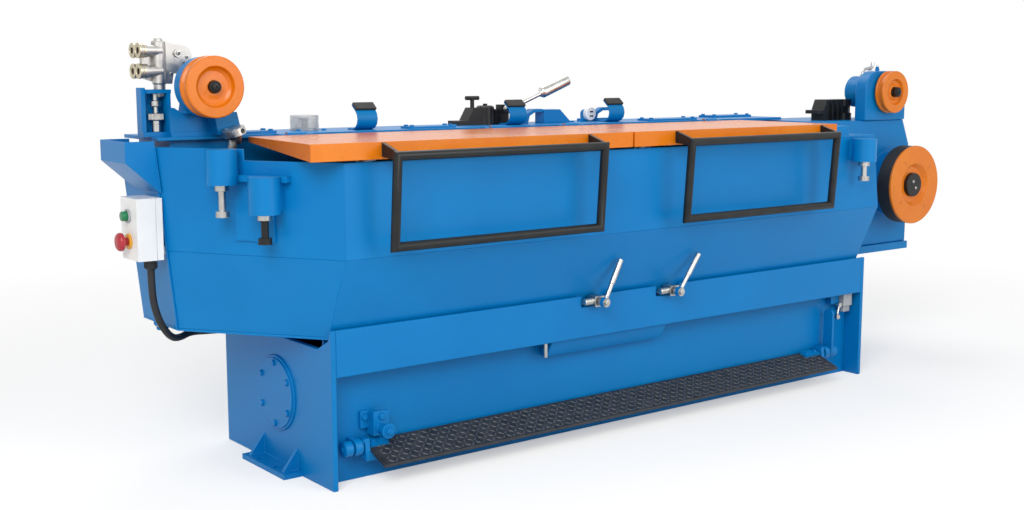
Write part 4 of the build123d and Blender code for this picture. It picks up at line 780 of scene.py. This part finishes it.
# limit switch: ribs on the plunger housing, a backing plate and the roller lever
switch = {"ribX": (1729, 1734, 1739, 1744, 1749), "ribWide": 2.2, "ribY": (22.6, 24.2), "ribZ": (191, 207),
          "back": ((1680, 1716), (34, 54), (216, 252)), "leverR": 3,
          "lever": [(1722, 30, 214), (1708, 26, 214), (1702, 22, 210), (1695, 20, 192), (1693, 20, 184)],
          "roller": (1693, 20, 180), "pivot": (1704, 24, 213)}
bm = bmesh.new()
for x in switch["ribX"]:
    block(bm, (x, x + switch["ribWide"]), switch["ribY"], switch["ribZ"])
settle("switch_ribs", bm, "frame", "grey_plastic")
bm = bmesh.new()
block(bm, *switch["back"])
settle("switch_backing", bm, "frame", "machine_blue")
bm = bmesh.new()
pipe(bm, switch["lever"], switch["leverR"], 12)
turn(bm, [(0, -6), (6, -6), (7.5, -4.5), (7.5, 4.5), (6, 6), (0, 6)], switch["roller"], (0, 1, 0), 20)
turn(bm, [(0, -5), (7, -5), (7, 5), (0, 5)], switch["pivot"], (0, 1, 0), 16)
settle("switch_roller_lever", bm, "frame", "bright_steel")

# clamp bars that hold the checker plate to its pivots, lying on the plate near the rear
bars = {"x": ((104, 150), (1556, 1616)), "rear": (40, 84.5), "deep": 22, "thick": 7, "boltIn": 12}
slope = (rearZ - frontZ) / (rearY - frontY)
up = Vector((0, -slope, 1)).normalized()
y1, z1 = bars["rear"]
y0, z0 = y1 - bars["deep"], z1 - slope * bars["deep"]
bm = bmesh.new()
barBolts = []
for x0, x1 in bars["x"]:
    slab(bm, [(x0, y1, z1), (x1, y1, z1), (x1, y0, z0), (x0, y0, z0)], up * bars["thick"])
    for x in (x0 + bars["boltIn"], x1 - bars["boltIn"]):
        spot = Vector((x, y1 - bars["deep"] / 2, z1 - slope * bars["deep"] / 2)) + up * bars["thick"]
        barBolts.append((tuple(spot), tuple(up)))
settle("treadle_clamp_bars", bm, "treadle", "machine_blue")
boltRow("treadle_clamp_bolts", barBolts, boltSizes["m6"], "treadle", "machine_blue")

# treadle ends: domed cap and bolt on each knob, nut and washer on the buffer
knobs = {"ends": ((40, -1), (1688, 1)), "y": 28, "z": 80,
         "cap": [(0, 5), (5, 4.6), (7, 3.4), (7, 1.4), (14, 1.2), (16.4, 0), (0, 0)], "buffer": (136, -8, 113)}
bm = bmesh.new()
for x, side in knobs["ends"]:
    turn(bm, knobs["cap"], (x, knobs["y"], knobs["z"]), (side, 0, 0), 28)
settle("treadle_knob_caps", bm, "treadle", "machine_blue")
bm = bmesh.new()
turn(bm, [(0, 0), (12.5, 0), (12.5, 1.8), (0, 1.8)], knobs["buffer"], front, 28)
turn(bm, [(0, 1.8), (9, 1.8), (9, 6.4), (7.4, 7.6), (0, 7.6)], knobs["buffer"], front, 6)
turn(bm, [(0, 7.6), (4.6, 7.6), (4.6, 10), (3.6, 11), (0, 11)], knobs["buffer"], front, 18)
settle("buffer_nut", bm, "frame", "machine_blue")

# guide unit: the round boss that the tubes run into, and the pin under the wire ring
boss = {"foot": (-208.5, 351, 851.5), "nut": (-208.5, 351, 851), "pin": (-88, 262, 722), "pinLean": (0.15, -0.2, 1)}
bm = bmesh.new()
turn(bm, [(0, 0), (12.5, 0), (12.5, 10), (15.2, 13), (15.2, 100), (13.6, 102.4), (9, 102.6), (9, 106), (6, 106.4),
          (0, 106.4)], boss["foot"], (0, 0, 1), 36)
turn(bm, [(0, 0), (10, 0), (10, 14), (8.5, 16), (0, 16)], boss["nut"], (0, 0, -1), 6)
settle("guide_boss", bm, "frame", "cast_aluminium")
bm = bmesh.new()
turn(bm, [(0, 0), (9.5, 0), (9.5, 18), (0, 18)], boss["pin"], boss["pinLean"], 20)
settle("wire_ring_pin", bm, "frame", "cast_aluminium")

# guide unit: bushes in the tube mouths, screw heads on the casting, clamp screw on the ring
bushes = {"x": -252, "y": (346, 378), "z": (890, 934), "ring": (-83, 256, 760), "ringLean": (0.36, -0.93, 0.11),
          "ringR": 24.4, "screws": (((-169, 338, 929), 5), ((-148, 343, 921), 3.6), ((-184, 343, 885), 3.6))}
bm = bmesh.new()
for z in bushes["z"]:
    for y in bushes["y"]:
        spot = (bushes["x"], y, z)
        turn(bm, [(7.2, 0), (15.6, 0), (16.4, -1.2), (16.4, -4.6), (15.2, -5.6), (11.6, -5.6), (10.6, -4.4),
                  (7.2, -4.4), (7.2, 0)], spot, (1, 0, 0), 30)
        turn(bm, [(15.1, 4), (16, 4.4), (16, 7.6), (15.1, 8), (15.1, 4)], spot, (1, 0, 0), 30)
settle("guide_bushes", bm, "frame", "cast_aluminium", None, makeFinish(
    {"name": "bushBrassPale", "colour": "#B4A98F", "other": "#CFC5AE", "patchMm": 10, "rough": (0.26, 0.4),
     "grainMm": 1.5, "bump": 0.08, "shader": {"Metallic": 1.0}}))
steel, dark = bmesh.new(), bmesh.new()
for spot, r in bushes["screws"]:
    socketScrew(steel, dark, spot, front, r)
settle("guide_screws", steel, "frame", "bright_steel")
ringLean = Vector(bushes["ringLean"]).normalized()
ringSpot = Vector(bushes["ring"]) + ringLean * bushes["ringR"]
# the sockets of the casting screws and of the ring's clamp screw are thin near-black pieces: painted shade for their
# hollows
turn(dark, [(0, 0), (5.2, 0), (5.2, 1.1), (3.4, 1.2), (3.4, 0.6), (0, 0.6)], ringSpot, ringLean, 20)
settle("guide_screw_sockets", dark, "frame", "black_paint", None, paintedShadeFinish)

# knurl on the adjusting ring
knurl = {"teeth": 44, "ring": 15.8, "ridge": (1.3, 1.3, 12), "spot": (-219, 352, 793)}
knurlTree, given = newTree("knurlRidges", {
    "Teeth": "NodeSocketInt", "Ring": "NodeSocketFloat", "Ridge": "NodeSocketVector", "Place": "NodeSocketVector",
    "Finish": "NodeSocketMaterial"})
circle = addNode(knurlTree, "GeometryNodeMeshCircle", None, {"Vertices": given["Teeth"], "Radius": given["Ring"]})
ridge = addNode(knurlTree, "GeometryNodeMeshCube", None, {"Size": given["Ridge"]})
turned = addNode(knurlTree, "FunctionNodeAxisAngleToRotation", {"Axis": (0, 0, 1), "Angle": math.pi / 4})
spot = addNode(knurlTree, "GeometryNodeInputPosition")
face = addNode(knurlTree, "FunctionNodeAlignRotationToVector", {"axis": "X"}, {"Vector": spot.outputs[0]})
face = addNode(knurlTree, "FunctionNodeRotateRotation", {"rotation_space": "LOCAL"},
               {"Rotation": face.outputs[0], "Rotate By": turned.outputs[0]})
teeth = addNode(knurlTree, "GeometryNodeInstanceOnPoints", None,
                {"Points": circle.outputs[0], "Instance": ridge.outputs[0], "Rotation": face.outputs[0]})
teeth = addNode(knurlTree, "GeometryNodeTransform", None, {"Geometry": teeth.outputs[0], "Translation": given["Place"]})
closeTree(knurlTree, teeth.outputs[0], given["Finish"])
grow("spindle_knurl", bpy.data.meshes.new("knurlSeed"), knurlTree, {
    "Teeth": knurl["teeth"], "Ring": knurl["ring"] * mm, "Ridge": [v * mm for v in knurl["ridge"]],
    "Place": at(*knurl["spot"]), "Finish": mats["bright_steel"]}, "frame", "bright_steel")
print("guide unit dressed")

# back of the gear housing: three bolted access covers
covers = {"x": ((90, 560), (640, 1110), (1190, 1660)), "z": (392, 706), "y": 505, "thick": 4, "corner": 14,
          "boltIn": 16, "pitch": 118}
z0, z1 = covers["z"]
y, e = covers["y"] + covers["thick"], covers["boltIn"]
bm = bmesh.new()
rearBolts = []
for x0, x1 in covers["x"]:
    ring = cutCorners(x0, x1, z0, z1, covers["corner"])
    slab(bm, [(x, covers["y"], z) for x, z in ring], (0, covers["thick"], 0))
    n = round((x1 - x0 - 2 * e) / covers["pitch"])
    for k in range(n + 1):
        x = x0 + e + (x1 - x0 - 2 * e) * k / n
        rearBolts += [((x, y, z0 + e), (0, 1, 0)), ((x, y, z1 - e), (0, 1, 0))]
    rearBolts += [((x, y, (z0 + z1) / 2), (0, 1, 0)) for x in (x0 + e, x1 - e)]
settle("rear_access_covers", bm, "frame", "machine_blue")
boltRow("rear_cover_bolts", rearBolts, boltSizes["m8"], "frame", "machine_blue")
print("rear covers bolted")

# studio: white floor that keeps the shadow close by and fades to plain white further out
studio = {"floor": "#FBFBFA", "world": 0.42, "key": 125, "fill": 70, "top": 50, "fadeFrom": 1.4, "fadeTo": 3.4,
          "fadeLeast": 0.4}
bm = bmesh.new()
bmesh.ops.create_grid(bm, x_segments=1, y_segments=1, size=30)
floorMesh = bpy.data.meshes.new("studioFloor")
bm.to_mesh(floorMesh)
bm.free()
floor = bpy.data.objects.new("studioFloor", floorMesh)
bpy.context.scene.collection.objects.link(floor)
floorMat = bpy.data.materials.new("floorPaintMattWhite")
floorMat.use_nodes = True
tree = floorMat.node_tree
tree.nodes.clear()
paint = addNode(tree, "ShaderNodeBsdfDiffuse", {"Color": linear(studio["floor"]), "Roughness": 0.6})
plain = addNode(tree, "ShaderNodeEmission", {"Color": (1, 1, 1, 1), "Strength": 1.0})
coords = addNode(tree, "ShaderNodeTexCoord").outputs["Object"]
away = addNode(tree, "ShaderNodeVectorMath", {"operation": "LENGTH"}, {0: coords})
fade = addNode(tree, "ShaderNodeMapRange", {
    "From Min": studio["fadeFrom"], "From Max": studio["fadeTo"], "To Min": studio["fadeLeast"], "To Max": 1.0,
    "interpolation_type": "SMOOTHSTEP"}, {"Value": away.outputs["Value"]})
path = addNode(tree, "ShaderNodeLightPath")
seen = addNode(tree, "ShaderNodeMath", {"operation": "MAXIMUM"},
               {0: path.outputs["Is Camera Ray"], 1: path.outputs["Is Transmission Ray"]})
seen = addNode(tree, "ShaderNodeMath", {"operation": "MAXIMUM"}, {0: seen.outputs[0], 1: path.outputs["Is Glossy Ray"]})
share = addNode(tree, "ShaderNodeMath", {"operation": "MULTIPLY"}, {0: seen.outputs[0], 1: fade.outputs["Result"]})
mixed = addNode(tree, "ShaderNodeMixShader", None, {0: share.outputs[0], 1: paint.outputs[0], 2: plain.outputs[0]})
addNode(tree, "ShaderNodeOutputMaterial", None, {"Surface": mixed.outputs[0]})
floorMesh.materials.append(floorMat)

world = bpy.data.worlds.new("studioWorld")
world.use_nodes = True
bpy.context.scene.world = world
tree = world.node_tree
tree.nodes.clear()
path = addNode(tree, "ShaderNodeLightPath")
seen = addNode(tree, "ShaderNodeMath", {"operation": "MAXIMUM"},
               {0: path.outputs["Is Camera Ray"], 1: path.outputs["Is Transmission Ray"]})
seen = addNode(tree, "ShaderNodeMath", {"operation": "MAXIMUM"}, {0: seen.outputs[0], 1: path.outputs["Is Glossy Ray"]})
soft = addNode(tree, "ShaderNodeBackground", {"Color": (1, 1, 1, 1), "Strength": studio["world"]})
white = addNode(tree, "ShaderNodeBackground", {"Color": (1, 1, 1, 1), "Strength": 1.0})
pick = addNode(tree, "ShaderNodeMixShader", None, {0: seen.outputs[0], 1: soft.outputs[0], 2: white.outputs[0]})
addNode(tree, "ShaderNodeOutputWorld", None, {"Surface": pick.outputs[0]})


def lamp(name, spot, aim, size, watts):
    data = bpy.data.lights.new(name, "AREA")
    data.size = size
    data.energy = watts
    obj = bpy.data.objects.new(name, data)
    obj.location = spot
    obj.rotation_euler = (Vector(aim) - Vector(spot)).to_track_quat("-Z", "Y").to_euler()
    bpy.context.scene.collection.objects.link(obj)


lamp("keyBox", (-3.4, -3.0, 2.9), (-0.1, 0, 0.45), 2.4, studio["key"])
lamp("fillBox", (1.2, -4.4, 2.0), (0.2, 0, 0.4), 2.6, studio["fill"])
lamp("topBox", (0.4, 1.6, 3.6), (0, 0, 0.6), 2.4, studio["top"])
print("studio lit")
